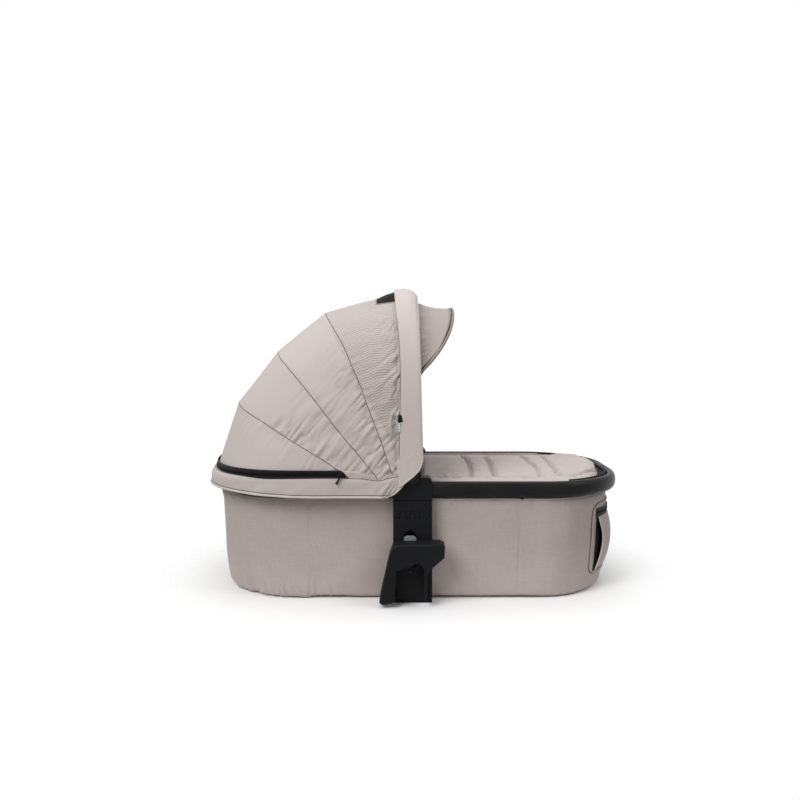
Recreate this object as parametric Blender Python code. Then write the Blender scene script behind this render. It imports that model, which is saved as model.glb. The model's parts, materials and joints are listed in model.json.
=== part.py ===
# Carrycot with a folding hood, modelled at real size in metres.
# +X runs to the foot end, +Z is up, and the origin is on the floor under the middle of the cot.
# Left is the -Y side and right is the +Y side, as seen from the foot end.

import math
import bpy
import bmesh
from mathutils import Vector

# Clearances and shared steps
GAP = 0.0003
OVERRUN = 0.004
CORNER_STEPS = 7
ROUND_STEPS = 16

# Rim tube, an oval aluminium tube bent round the cot's mouth
RIM_HALF_LENGTH = 0.413
RIM_HALF_WIDTH = 0.209
RIM_END_FLAT = 0.044
RIM_TUBE_WIDTH = 0.019
RIM_TUBE_HEIGHT = 0.031
RIM_TUBE_WALL = 0.0018
RIM_BOTTOM = 0.1947
RIM_ROUND_STEPS = 4

# Hub housing, the moulding that joins the two rim halves on each side
HUB_REAR = -0.045
HUB_FRONT = 0.0285
HUB_INNER_CLEARANCE = 0.0028
HUB_PROUD = 0.0060
HUB_DROP = 0.0032
HUB_SHOULDER_HEIGHT = 0.0435
HUB_BOSS_RADIUS = 0.0200
HUB_TUBE_REACH = 0.0200
HUB_EDGE = 0.0012

# Hood pivot and bows
PIVOT_X = -0.0120
PIVOT_RISE = 0.0123
PIN_RADIUS = 0.0040
PIN_HEAD_RADIUS = 0.0100
PIN_HEAD_THICKNESS = 0.0016
PIN_RUNNING_GAP = 0.0003
PIN_DEPTH = 0.0145
BOW_STRAIGHT = 0.0300
BOW_STRIP_THICKNESS = 0.0013
BOW_STRIP_WIDTH = 0.0090
BOW_LAYER_GAP = 0.0003
BOW_DROP = 0.0025
BOW_EYE_RADIUS = 0.0080
FRONT_BAR_THICKNESS = 0.0040
FRONT_BAR_WIDTH = 0.0180
FRONT_EYE_RADIUS = 0.0150
BOW_STEPS = 24

# Hood cloth, measured to its outer face, one angle and one reach for each seam.
# Angles are in degrees, up from the straight-back direction at the pivot.
CLOTH = 0.0014
CLOTH_CLEARANCE = 0.0007
SEAM_ANGLES = (88.6, 61.0, 37.5, 19.5)
FRONT_REACH = 0.3580
SEAM_1_REACH = 0.3560
SEAM_2_REACH = 0.3620
SEAM_3_REACH = 0.3830
PANEL_START = 0.0360
PANEL_SAG = 0.0015
PANEL_ROWS = 3
ARCH_POWER = 2.8

# Front band, the wide strap over the front bow
BAND_WIDTH = 0.0470
BAND_THICKNESS = 0.0020
BAND_START = 0.0120
BAND_SLANT_SHARE = 1.1
GRIP_LENGTH = 0.1400
GRIP_WIDTH = 0.0260
GRIP_THICKNESS = 0.0150
GRIP_WALL_GAP = 0.0004
GRIP_NOTCH_DEPTH = 0.0620
GRIP_NOTCH_HALF_WIDTH = 0.0680

# Hood base, with its skirt over the rim and the zip above it
SKIRT_STRAIGHT = 0.2000
SKIRT_POWER = 2.5
SKIRT_CLEARANCE = 0.0160
SKIRT_RISE = 0.0083
SKIRT_FRONT = 0.0180
SKIRT_FLARE = 0.0060
ZIP_RISE = 0.0078
ZIP_HEIGHT = 0.0225
ZIP_SET_IN = 0.0140
ZIP_END = 0.1230
ZIP_POINT = 0.0140
GUSSET_FRONT = 0.0220
GUSSET_FRONT_HEIGHT = 0.0095
ZIP_SLIDER_LENGTH = 0.0110
ZIP_SLIDER_HEIGHT = 0.0080
ZIP_SLIDER_THICKNESS = 0.0024
ZIP_SLIDER_SETBACK = 0.0160
ZIP_PULL_LENGTH = 0.0240
ZIP_PULL_WIDTH = 0.0045

# Visor, a flip peak whose brim turns on the front bow
VISOR_PIVOT_DROP = 0.2180
VISOR_ANGLE = 29.7
VISOR_REACH = 0.2045
VISOR_CLEARANCE = 0.0027
VISOR_POWER = 1.9
BRIM_THICKNESS = 0.0016
BRIM_WIDTH = 0.0080
VISOR_CLOTH = 0.0012
VISOR_CLOTH_START = 0.0640
BRIM_STRAIGHT = 0.0020
BRIM_EYE_RADIUS = 0.0055
RIVET_RADIUS = 0.0028
RIVET_HEAD_RADIUS = 0.0050
RIVET_HEAD = 0.0012
RIVET_COLLAR_RADIUS = 0.0042
RIVET_SLACK = 0.0012

# Cot body
COVER_END_TAPER = 0.0170
COVER_SIDE_TAPER = 0.0110
COVER_CORNER_TAPER = 0.0040
COVER_END_SET_IN = 0.0120
COVER_SIDE_SET_IN = 0.0110
COVER_CORNER_SET_IN = 0.0050
COVER_EDGE = 0.0220
COVER_WALL = 0.0025
TRAY_WALL = 0.0030
TRAY_LIP = 0.0260
LINER_WALL = 0.0022
LINER_DROP = 0.0027
LINER_RIM_CLEARANCE = 0.0007
LINER_CORNER_EASE = 0.0040
MATTRESS_HEIGHT = 0.0320
MATTRESS_EDGE = 0.0100
MATTRESS_CLEARANCE = 0.0040

# Quilted apron over the foot half
APRON_START = 0.0040
APRON_FOOT_LENGTH = 0.1220
APRON_SETBACK = 0.0093
APRON_RISE = 0.0133
APRON_EDGE_HEIGHT = 0.0180
APRON_CROWN = 0.0100
APRON_CHANNEL_SHARES = (0.287, 0.376, 0.694, 0.841)
APRON_CHANNEL_WIDTH = 0.0110
APRON_CHANNEL_DEPTH = 0.0060
APRON_FLAP_ROWS = 16
APRON_FOOT_ROWS = 6
APRON_COLUMNS = 10

# Side carrier, in two mouldings that meet along a toothed line
CARRIER_CLEARANCE = 0.0010
CARRIER_HEAD_HEIGHT = 0.0205
CARRIER_TOOTH_HEIGHT = 0.0120
CARRIER_TEETH = 4
CARRIER_TOOTH_WIDTH = 0.0090
CARRIER_JOINT_GAP = 0.0006
CARRIER_EDGE = 0.0010
TAB_WIDTH = 0.0230
TAB_X = -0.0130
TAB_DROP = 0.0320
TAB_LENGTH = 0.0360
TAB_THICKNESS = 0.0050
TAB_SET_IN = 0.0006
TAB_TRAVEL = 0.0080
TAB_SIDE_GAP = 0.0004
TAB_POCKET_DEPTH = 0.0120
BOLT_WIDTH = 0.0120
BOLT_LENGTH = 0.0240
BOLT_THICKNESS = 0.0040
SPRING_RADIUS = 0.0024
SPRING_WIRE = 0.0005
SPRING_TURNS = 5
SPRING_SEAT = 0.0004
SPRING_STEPS = 6
SPRING_SIDES = 4
TAB_LEDGE_WIDTH = 0.0080
TAB_LEDGE_HEIGHT = 0.0140

# Chassis adapter shroud
SHROUD_DEPTH = 0.0347
SHROUD_REAR = -0.0703
SHROUD_FRONT = 0.0512
SHROUD_BOTTOM = 0.0056
SHROUD_DROP = 0.0084
SHROUD_CHAMFER = 0.0030
SHROUD_SHARES = (
    (0.209, 0.957), (0.285, 0.982), (0.937, 1.0), (1.0, 0.964), (0.991, 0.767), (0.730, 0.524),
    (0.730, 0.175), (0.700, 0.078), (0.679, 0.132), (0.679, 0.582), (0.600, 0.681), (0.270, 0.550),
    (0.235, 0.132), (0.252, 0.078), (0.191, 0.020), (0.043, 0.0), (0.0, 0.037), (0.017, 0.159),
    (0.156, 0.814),
)
SOCKET_SCREW_RADIUS = 0.0042
SOCKET_SCREW_HEAD = 0.0024
SOCKET_SCREW_RISE = 0.0521
SOCKET_SCREW_SHANK = 0.0018

# Underside
BRACE_THICKNESS = 0.0040
BRACE_EDGE = 0.0010
FOOT_RADIUS = 0.0180
FOOT_END_INSET = 0.1240
FOOT_SIDE_INSET = 0.0820
FOOT_EDGE = 0.0012

# Pocket on the foot end
POCKET_BOTTOM = 0.0480
POCKET_HEIGHT = 0.0800
POCKET_CLOTH = 0.0016
POCKET_BULGE = 0.0130
POCKET_ZIP_HEIGHT = 0.0200
POCKET_STEPS = 4
POCKET_ROWS = 6
POCKET_SWELL_SHARE = 0.6

# Hub button
BUTTON_RADIUS = 0.0088
BUTTON_PROUD = 0.0040
BUTTON_LENGTH = 0.0120
BUTTON_TRAVEL = 0.0035
BUTTON_GAP = 0.0003

SIDES = {"left": -1, "right": 1}

# Worked out from the sizes above
RIM_TOP = RIM_BOTTOM + RIM_TUBE_HEIGHT
RIM_CORNER = RIM_HALF_WIDTH - RIM_END_FLAT
RIM_LINE_HALF_WIDTH = RIM_HALF_WIDTH - RIM_TUBE_WIDTH / 2
RIM_LINE_HALF_LENGTH = RIM_HALF_LENGTH - RIM_TUBE_WIDTH / 2
RIM_LINE_CORNER = RIM_CORNER - RIM_TUBE_WIDTH / 2
HUB_INNER = RIM_HALF_WIDTH - RIM_TUBE_WIDTH - HUB_INNER_CLEARANCE
HUB_OUTER = RIM_HALF_WIDTH + HUB_PROUD
HUB_BOTTOM = RIM_BOTTOM - HUB_DROP
HUB_SHOULDER = HUB_BOTTOM + HUB_SHOULDER_HEIGHT
PIVOT_Z = RIM_TOP + PIVOT_RISE
BOW_PITCH = BOW_STRIP_THICKNESS + BOW_LAYER_GAP
FRONT_BAR_INNER = HUB_OUTER + 3 * BOW_PITCH + BOW_LAYER_GAP
FRONT_BAR_OUTER = FRONT_BAR_INNER + FRONT_BAR_THICKNESS
SEAM_REACHES = (FRONT_REACH, SEAM_1_REACH, SEAM_2_REACH, SEAM_3_REACH)
CLOTH_HALF_WIDTH = FRONT_BAR_OUTER + CLOTH_CLEARANCE + CLOTH
BAND_HALF_WIDTH = CLOTH_HALF_WIDTH + GAP + BAND_THICKNESS
FRONT_BAR_HEIGHT = FRONT_REACH - CLOTH - GAP - FRONT_BAR_THICKNESS - BOW_STRAIGHT
VISOR_PIVOT_REACH = FRONT_REACH - VISOR_PIVOT_DROP
SKIRT_REACH = RIM_HALF_LENGTH + PIVOT_X + SKIRT_CLEARANCE
SKIRT_BOTTOM = RIM_BOTTOM + SKIRT_RISE
ZIP_REACH = SKIRT_REACH - ZIP_SET_IN
ZIP_BOTTOM = RIM_TOP + ZIP_RISE
ZIP_TOP = ZIP_BOTTOM + ZIP_HEIGHT
COVER_TOP_HALF_LENGTH = RIM_HALF_LENGTH - COVER_END_SET_IN
COVER_TOP_HALF_WIDTH = RIM_HALF_WIDTH - COVER_SIDE_SET_IN
COVER_TOP_CORNER = RIM_CORNER - COVER_CORNER_SET_IN
COVER_BASE_HALF_LENGTH = COVER_TOP_HALF_LENGTH - COVER_END_TAPER
COVER_BASE_HALF_WIDTH = COVER_TOP_HALF_WIDTH - COVER_SIDE_TAPER
COVER_BASE_CORNER = COVER_TOP_CORNER - COVER_CORNER_TAPER
COVER_BOTTOM = BRACE_THICKNESS + GAP
COVER_TOP = RIM_BOTTOM - GAP
TRAY_BOTTOM = COVER_BOTTOM + COVER_WALL + GAP
TRAY_INSET = COVER_WALL + GAP
LINER_BOTTOM = TRAY_BOTTOM + TRAY_WALL + GAP
LINER_INSET = TRAY_INSET + TRAY_WALL + GAP
LINER_TOP = RIM_TOP - LINER_DROP
LINER_TOP_HALF_LENGTH = RIM_HALF_LENGTH - RIM_TUBE_WIDTH - LINER_RIM_CLEARANCE
LINER_TOP_HALF_WIDTH = RIM_HALF_WIDTH - RIM_TUBE_WIDTH - LINER_RIM_CLEARANCE
LINER_TOP_CORNER = RIM_CORNER - RIM_TUBE_WIDTH + LINER_CORNER_EASE
MATTRESS_BOTTOM = LINER_BOTTOM + LINER_WALL + GAP
APRON_END = LINER_TOP_HALF_LENGTH - APRON_SETBACK
APRON_HINGE = APRON_END - APRON_FOOT_LENGTH
APRON_BOTTOM = RIM_BOTTOM + APRON_RISE
APRON_EDGE_TOP = APRON_BOTTOM + APRON_EDGE_HEIGHT
CARRIER_INNER = COVER_TOP_HALF_WIDTH + CARRIER_CLEARANCE
CARRIER_TOOTH_ROOT = HUB_BOTTOM - CARRIER_HEAD_HEIGHT
CARRIER_TOOTH_TIP = CARRIER_TOOTH_ROOT - CARRIER_TOOTH_HEIGHT
TAB_TOP = CARRIER_TOOTH_TIP - TAB_DROP
SHROUD_OUTER = HUB_OUTER + GAP + SHROUD_DEPTH
SHROUD_TOP = TAB_TOP - SHROUD_DROP
SOCKET_SCREW_Z = SHROUD_BOTTOM + SOCKET_SCREW_RISE
FOOT_X = COVER_BASE_HALF_LENGTH - FOOT_END_INSET
FOOT_Y = COVER_BASE_HALF_WIDTH - FOOT_SIDE_INSET
POCKET_TOP = POCKET_BOTTOM + POCKET_HEIGHT

MATERIALS = {
    "hood_cloth": ((0.56, 0.50, 0.475), 0.85, 0.0),
    "basin_cloth": ((0.46, 0.405, 0.385), 0.88, 0.0),
    "lining_cloth": ((0.62, 0.57, 0.52), 0.9, 0.0),
    "black_tube": ((0.012, 0.013, 0.015), 0.32, 0.4),
    "black_plastic": ((0.016, 0.017, 0.019), 0.5, 0.0),
    "grey_plastic": ((0.13, 0.14, 0.15), 0.45, 0.0),
    "black_zip": ((0.012, 0.012, 0.013), 0.7, 0.0),
    "steel": ((0.45, 0.45, 0.46), 0.35, 1.0),
    "board": ((0.05, 0.05, 0.055), 0.7, 0.0),
    "foam_cloth": ((0.68, 0.65, 0.61), 0.9, 0.0),
    "black_grip": ((0.02, 0.02, 0.022), 0.6, 0.0),
}


def clear_scene():
    for obj in list(bpy.data.objects):
        bpy.data.objects.remove(obj, do_unlink=True)


def make_material(node_name, finish):
    colour, roughness, metallic = MATERIALS[finish]
    material = bpy.data.materials.new(node_name)
    material.use_nodes = True
    shader = material.node_tree.nodes["Principled BSDF"]
    shader.inputs["Base Color"].default_value = (*colour, 1.0)
    shader.inputs["Roughness"].default_value = roughness
    shader.inputs["Metallic"].default_value = metallic
    return material


def add_object(name, bm, finish, smooth_angle=35):
    bmesh.ops.recalc_face_normals(bm, faces=bm.faces)
    mesh = bpy.data.meshes.new(name)
    bm.to_mesh(mesh)
    bm.free()
    obj = bpy.data.objects.new(name, mesh)
    bpy.context.scene.collection.objects.link(obj)
    if finish:
        mesh.materials.append(make_material(name, finish))
        mesh.shade_smooth()
        mesh.set_sharp_from_angle(angle=math.radians(smooth_angle))
    return obj


# Mesh helpers

def add_faces_between(bm, ring_a, ring_b, closed=True):
    count = len(ring_a)
    for i in range(count if closed else count - 1):
        j = (i + 1) % count
        bm.faces.new((ring_a[i], ring_a[j], ring_b[j], ring_b[i]))


def loft(rings):
    """A closed solid through a list of closed rings, with a face over each end."""
    bm = bmesh.new()
    verts = [[bm.verts.new(p) for p in ring] for ring in rings]
    for ring_a, ring_b in zip(verts, verts[1:]):
        add_faces_between(bm, ring_a, ring_b)
    bm.faces.new(verts[0])
    bm.faces.new(list(reversed(verts[-1])))
    return bm


def hollow_sweep(outer_rings, inner_rings):
    """A tube open at both ends, from matching outer and inner rings."""
    bm = bmesh.new()
    outer = [[bm.verts.new(p) for p in ring] for ring in outer_rings]
    inner = [[bm.verts.new(p) for p in ring] for ring in inner_rings]
    for rings in (outer, inner):
        for ring_a, ring_b in zip(rings, rings[1:]):
            add_faces_between(bm, ring_a, ring_b)
    add_faces_between(bm, outer[0], inner[0])
    add_faces_between(bm, outer[-1], inner[-1])
    return bm


def sheet(outer_rows, inner_rows):
    """A closed sheet of cloth or plate between two matching grids of points."""
    bm = bmesh.new()
    outer = [[bm.verts.new(p) for p in row] for row in outer_rows]
    inner = [[bm.verts.new(p) for p in row] for row in inner_rows]
    for grid in (outer, inner):
        for row_a, row_b in zip(grid, grid[1:]):
            add_faces_between(bm, row_a, row_b, closed=False)
    for edge_a, edge_b in (
        (outer[0], inner[0]),
        (outer[-1], inner[-1]),
        ([row[0] for row in outer], [row[0] for row in inner]),
        ([row[-1] for row in outer], [row[-1] for row in inner]),
    ):
        add_faces_between(bm, edge_a, edge_b, closed=False)
    return bm


def extrude_y(outline, y_start, y_end):
    """An outline of (x, z) points, drawn out along Y."""
    return loft([[(x, y, z) for x, z in outline] for y in (y_start, y_end)])


def box(low, high):
    outline = [(low[0], low[2]), (high[0], low[2]), (high[0], high[2]), (low[0], high[2])]
    return extrude_y(outline, low[1], high[1])


def cylinder_y(x, z, radius, y_start, y_end, steps=ROUND_STEPS):
    outline = arc(x, z, radius, 0, 360 - 360 / steps, steps - 1)
    return extrude_y(outline, y_start, y_end)


def add_turned(name, x, z, side, profile, finish):
    """A turned piece about an axis along Y, from (radius, y) points."""
    rings = [[(a, side * y, b) for a, b in arc(x, z, r, 0, 360 - 360 / ROUND_STEPS, ROUND_STEPS - 1)]
             for r, y in profile]
    return add_object(name, loft(rings), finish)


def arc(x, z, radius, start, end, steps):
    """Points on an arc about (x, z), with angles in degrees from +X."""
    points = []
    for i in range(steps + 1):
        angle = math.radians(start + (end - start) * i / steps)
        points.append((x + radius * math.cos(angle), z + radius * math.sin(angle)))
    return points


def rounded_plan(half_length, half_width, corner, steps=CORNER_STEPS):
    """The (x, y) points of a rounded rectangle about the origin."""
    points = []
    for x_sign, y_sign, start in ((1, 1, 0), (-1, 1, 90), (-1, -1, 180), (1, -1, 270)):
        x = x_sign * (half_length - corner)
        y = y_sign * (half_width - corner)
        points += arc(x, y, corner, start, start + 90, steps)
    return points


def boolean(target, cutter_bm, name, operation="DIFFERENCE"):
    cutter = add_object(name, cutter_bm, None)
    cutter.hide_render = True
    cutter.display_type = "WIRE"
    modifier = target.modifiers.new(name, "BOOLEAN")
    modifier.operation = operation
    modifier.object = cutter


def bevel(target, width, segments=2, angle=40):
    modifier = target.modifiers.new("soft_edges", "BEVEL")
    modifier.width = width
    modifier.segments = segments
    modifier.limit_method = "ANGLE"
    modifier.angle_limit = math.radians(angle)


# Rim and hubs

def rim_section(inset, steps=RIM_ROUND_STEPS):
    """Points (across, up) of the oval tube section, inset from its outer face."""
    half_width = RIM_TUBE_WIDTH / 2 - inset
    half_height = RIM_TUBE_HEIGHT / 2 - inset
    points = []
    for sign, start in ((1, 0), (-1, 180)):
        points += arc(0, sign * (half_height - half_width), half_width, start, start + 180, steps)
    return points


def rim_path(direction, start_x):
    """The tube's centre line round one end, as points with their outward direction."""
    path = [(start_x, -RIM_LINE_HALF_WIDTH, 0.0, -1.0)]
    for y_sign, start in ((-1, 270), (1, 0)):
        centre_x = RIM_LINE_HALF_LENGTH - RIM_LINE_CORNER
        centre_y = y_sign * (RIM_LINE_HALF_WIDTH - RIM_LINE_CORNER)
        for i in range(CORNER_STEPS + 1):
            angle = math.radians(start + 90 * i / CORNER_STEPS)
            out_x, out_y = math.cos(angle), math.sin(angle)
            path.append((direction * (centre_x + RIM_LINE_CORNER * out_x),
                         centre_y + RIM_LINE_CORNER * out_y, direction * out_x, out_y))
    path.append((start_x, RIM_LINE_HALF_WIDTH, 0.0, 1.0))
    return path


def build_rim(name, direction, start_x):
    rings = []
    middle = RIM_BOTTOM + RIM_TUBE_HEIGHT / 2
    for inset in (0.0, RIM_TUBE_WALL):
        rings.append([[(x + across * out_x, y + across * out_y, middle + up)
                       for across, up in rim_section(inset)]
                      for x, y, out_x, out_y in rim_path(direction, start_x)])
    add_object(name, hollow_sweep(*rings), "black_tube")


def hub_outline():
    """The housing seen from the side: a block with a round boss over the pivot."""
    shoulder = HUB_SHOULDER - PIVOT_Z
    reach = math.degrees(math.asin(shoulder / HUB_BOSS_RADIUS))
    boss = arc(PIVOT_X, PIVOT_Z, HUB_BOSS_RADIUS, reach, 180 - reach, 12)
    corner = HUB_SHOULDER - HUB_BOTTOM
    return ([(HUB_REAR, HUB_BOTTOM), (HUB_FRONT, HUB_BOTTOM),
             (HUB_FRONT, HUB_SHOULDER - corner / 8), (HUB_FRONT - corner / 8, HUB_SHOULDER)]
            + boss
            + [(HUB_REAR + corner / 8, HUB_SHOULDER), (HUB_REAR, HUB_SHOULDER - corner / 8)])


def build_hub(label, side):
    housing = add_object("hub_housing_" + label,
                         extrude_y(hub_outline(), side * HUB_INNER, side * HUB_OUTER), "black_plastic")
    bevel(housing, HUB_EDGE, 1)
    middle = RIM_BOTTOM + RIM_TUBE_HEIGHT / 2
    socket = [(side * RIM_LINE_HALF_WIDTH + across, middle + up) for across, up in rim_section(-GAP)]
    for end, start_x, end_x in (
        ("front", HUB_FRONT - HUB_TUBE_REACH - GAP, HUB_FRONT + OVERRUN),
        ("rear", HUB_REAR - OVERRUN, HUB_REAR + HUB_TUBE_REACH + GAP),
    ):
        cutter = loft([[(x, y, z) for y, z in socket] for x in (start_x, end_x)])
        boolean(housing, cutter, f"cut_tube_{end}_{label}")
    hole = cylinder_y(PIVOT_X, PIVOT_Z, PIN_RADIUS + GAP,
                      side * (HUB_OUTER - PIN_DEPTH - GAP), side * (HUB_OUTER + OVERRUN))
    boolean(housing, hole, "cut_pin_" + label)
    well = cylinder_y(PIVOT_X, PIVOT_Z, BUTTON_RADIUS + BUTTON_GAP, side * (HUB_INNER - OVERRUN),
                      side * (HUB_INNER - BUTTON_PROUD + BUTTON_LENGTH + BUTTON_TRAVEL + GAP))
    boolean(housing, well, "cut_button_" + label)

    pin_inner = HUB_OUTER - PIN_DEPTH
    head_inner = FRONT_BAR_OUTER - PIN_HEAD_THICKNESS
    profile = [(PIN_RADIUS, pin_inner), (PIN_RADIUS, head_inner),
               (PIN_HEAD_RADIUS, head_inner), (PIN_HEAD_RADIUS, FRONT_BAR_OUTER)]
    add_turned("hood_pin_" + label, PIVOT_X, PIVOT_Z, side, profile, "steel")

    tip = HUB_INNER - BUTTON_PROUD
    profile = [(BUTTON_RADIUS * 0.8, tip), (BUTTON_RADIUS, tip + BUTTON_PROUD / 3),
               (BUTTON_RADIUS, tip + BUTTON_LENGTH)]
    add_turned("hub_button_" + label, PIVOT_X, PIVOT_Z, side, profile, "grey_plastic")


# Side carriers, latches and adapters

def toothed_line(gap):
    """Points (x, z) from rear to front along the joint, with square teeth that hang down."""
    pitch = (HUB_FRONT - HUB_REAR) / CARRIER_TEETH
    points = []
    for i in range(CARRIER_TEETH):
        middle = HUB_REAR + (i + 0.5) * pitch
        half_tooth = CARRIER_TOOTH_WIDTH / 2 + gap
        draft = CARRIER_TOOTH_WIDTH / 8
        root, tip = CARRIER_TOOTH_ROOT - gap, CARRIER_TOOTH_TIP - gap
        points += [(middle - half_tooth, root), (middle - half_tooth + draft, tip),
                   (middle + half_tooth - draft, tip), (middle + half_tooth, root)]
    return points


def build_carrier(label, side):
    top = HUB_BOTTOM - GAP
    head = ([(HUB_FRONT, CARRIER_TOOTH_ROOT), (HUB_FRONT, top), (HUB_REAR, top),
             (HUB_REAR, CARRIER_TOOTH_ROOT)] + toothed_line(0.0))
    obj = add_object("carrier_head_" + label,
                     extrude_y(head, side * CARRIER_INNER, side * HUB_OUTER), "black_plastic")
    bevel(obj, CARRIER_EDGE / 4, 1)

    joint = CARRIER_TOOTH_ROOT - CARRIER_JOINT_GAP
    bottom = BRACE_THICKNESS + GAP
    leg = ([(HUB_FRONT, joint), (HUB_FRONT, bottom), (HUB_REAR, bottom), (HUB_REAR, joint)]
           + toothed_line(CARRIER_JOINT_GAP))
    obj = add_object("carrier_leg_" + label,
                     extrude_y(leg, side * CARRIER_INNER, side * HUB_OUTER), "black_plastic")
    half = TAB_WIDTH / 2 + TAB_SIDE_GAP
    roof = TAB_TOP + TAB_TRAVEL + TAB_SIDE_GAP
    floor = TAB_TOP - TAB_LENGTH - BOLT_LENGTH - TAB_SIDE_GAP
    pocket = ([(TAB_X - half, floor), (TAB_X + half, floor)]
              + arc(TAB_X, roof - half, half, 0, 180, 10))
    boolean(obj, extrude_y(pocket, side * (HUB_OUTER - TAB_POCKET_DEPTH), side * (HUB_OUTER + OVERRUN)),
            "cut_tab_" + label)
    shank = cylinder_y(TAB_X, SOCKET_SCREW_Z, SOCKET_SCREW_SHANK + GAP,
                       side * (CARRIER_INNER - OVERRUN), side * (HUB_OUTER + OVERRUN), 12)
    boolean(obj, shank, "cut_screw_" + label)


def build_latch(label, side):
    half = TAB_WIDTH / 2
    outer = HUB_OUTER - TAB_SET_IN
    outline = ([(TAB_X - half, TAB_TOP - TAB_LENGTH), (TAB_X + half, TAB_TOP - TAB_LENGTH)]
               + arc(TAB_X, TAB_TOP - half, half, 0, 180, 10))
    obj = add_object("release_tab_" + label,
                     extrude_y(outline, side * (outer - TAB_THICKNESS), side * outer), "grey_plastic")
    bevel(obj, TAB_SET_IN, 1)
    bolt_top = TAB_TOP - TAB_LENGTH - GAP
    bolt_bottom = bolt_top - BOLT_LENGTH + TAB_SIDE_GAP
    nose = BOLT_THICKNESS / 2
    outline = [(TAB_X - BOLT_WIDTH / 2, bolt_bottom + nose), (TAB_X - BOLT_WIDTH / 2 + nose, bolt_bottom),
               (TAB_X + BOLT_WIDTH / 2 - nose, bolt_bottom), (TAB_X + BOLT_WIDTH / 2, bolt_bottom + nose),
               (TAB_X + BOLT_WIDTH / 2, bolt_top), (TAB_X - BOLT_WIDTH / 2, bolt_top)]
    add_object("latch_bolt_" + label,
               extrude_y(outline, side * (outer - BOLT_THICKNESS), side * outer), "steel")

    pocket_back = HUB_OUTER - TAB_POCKET_DEPTH
    ledge_top = TAB_TOP - TAB_LENGTH + TAB_LEDGE_HEIGHT
    ledge = box((TAB_X - TAB_LEDGE_WIDTH / 2, side * (pocket_back + TAB_SIDE_GAP), TAB_TOP - TAB_LENGTH),
                (TAB_X + TAB_LEDGE_WIDTH / 2, side * (outer - TAB_THICKNESS / 2), ledge_top))
    boolean(obj, ledge, "add_ledge_" + label, "UNION")
    half = TAB_WIDTH / 2 + TAB_SIDE_GAP
    coil_reach = SPRING_RADIUS + SPRING_WIRE
    roof = TAB_TOP + TAB_TRAVEL + TAB_SIDE_GAP - half + math.sqrt(half ** 2 - coil_reach ** 2)
    bottom = ledge_top + SPRING_SEAT + SPRING_WIRE
    top = roof - SPRING_SEAT - SPRING_WIRE
    middle = (pocket_back + outer - TAB_THICKNESS) / 2
    rings = []
    count = SPRING_TURNS * SPRING_STEPS
    for i in range(count + 1):
        turn = 2 * math.pi * i / SPRING_STEPS
        out = Vector((math.cos(turn), math.sin(turn), 0.0))
        centre = Vector((TAB_X, side * middle, bottom + (top - bottom) * i / count)) + out * SPRING_RADIUS
        rings.append([tuple(centre + out * a + Vector((0.0, 0.0, b)))
                      for a, b in arc(0, 0, SPRING_WIRE, 0, 360 - 360 / SPRING_SIDES, SPRING_SIDES - 1)])
    add_object("latch_spring_" + label, loft(rings), "steel")


def inset_outline(outline, distance):
    """The outline drawn in by a distance, each corner along its two edges' mean normal."""
    points = [Vector(p) for p in outline]
    area = sum(a.x * b.y - b.x * a.y for a, b in zip(points, points[1:] + points[:1]))
    turn = math.copysign(1.0, area)
    result = []
    for i, point in enumerate(points):
        before = (point - points[i - 1]).normalized()
        after = (points[(i + 1) % len(points)] - point).normalized()
        normal = Vector((-before.y - after.y, before.x + after.x)) * turn
        scale = distance * 2 / max(normal.length_squared, 1.0)
        result.append(tuple(point + normal * scale))
    return result


def build_adapter(label, side):
    outline = [(SHROUD_REAR + u * (SHROUD_FRONT - SHROUD_REAR),
                SHROUD_BOTTOM + v * (SHROUD_TOP - SHROUD_BOTTOM)) for u, v in SHROUD_SHARES]
    back = HUB_OUTER + GAP
    face = inset_outline(outline, SHROUD_CHAMFER)
    rings = [[(x, side * y, z) for x, z in points] for points, y in
             ((outline, back), (outline, SHROUD_OUTER - SHROUD_CHAMFER), (face, SHROUD_OUTER))]
    add_object("adapter_shroud_" + label, loft(rings), "black_plastic")
    profile = [(SOCKET_SCREW_SHANK, CARRIER_INNER + SOCKET_SCREW_SHANK), (SOCKET_SCREW_SHANK, back),
               (SOCKET_SCREW_RADIUS, back), (SOCKET_SCREW_RADIUS, back + SOCKET_SCREW_HEAD / 2),
               (SOCKET_SCREW_RADIUS * 3 / 4, back + SOCKET_SCREW_HEAD)]
    add_turned("socket_screw_" + label, TAB_X, SOCKET_SCREW_Z, side, profile, "steel")


# Hood geometry

def hood_place(angle, reach, y, lift=0.0):
    """A point at a reach from the pivot in the plane at an angle, lifted off that plane."""
    a = math.radians(angle)
    x = PIVOT_X - reach * math.cos(a) + lift * math.sin(a)
    z = PIVOT_Z + reach * math.sin(a) + lift * math.cos(a)
    return (x, y, z)


def arch(half_width, reach, straight=BOW_STRAIGHT, power=ARCH_POWER, steps=BOW_STEPS,
         start=0.0, skip=0, turn_from=0.0):
    """Points (y, reach) up one leg, over the arch and down the other leg."""
    curve = []
    for i in range(steps + 1):
        turn = math.radians(turn_from + (180 - 2 * turn_from) * i / steps)
        across = math.copysign(abs(math.cos(turn)) ** (2 / power), -math.cos(turn))
        up = abs(math.sin(turn)) ** (2 / power)
        curve.append((half_width * across, straight + (reach - straight) * up))
    if turn_from > 0:
        return curve
    return [(-half_width, start)] + curve[skip:len(curve) - skip] + [(half_width, start)]


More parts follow.
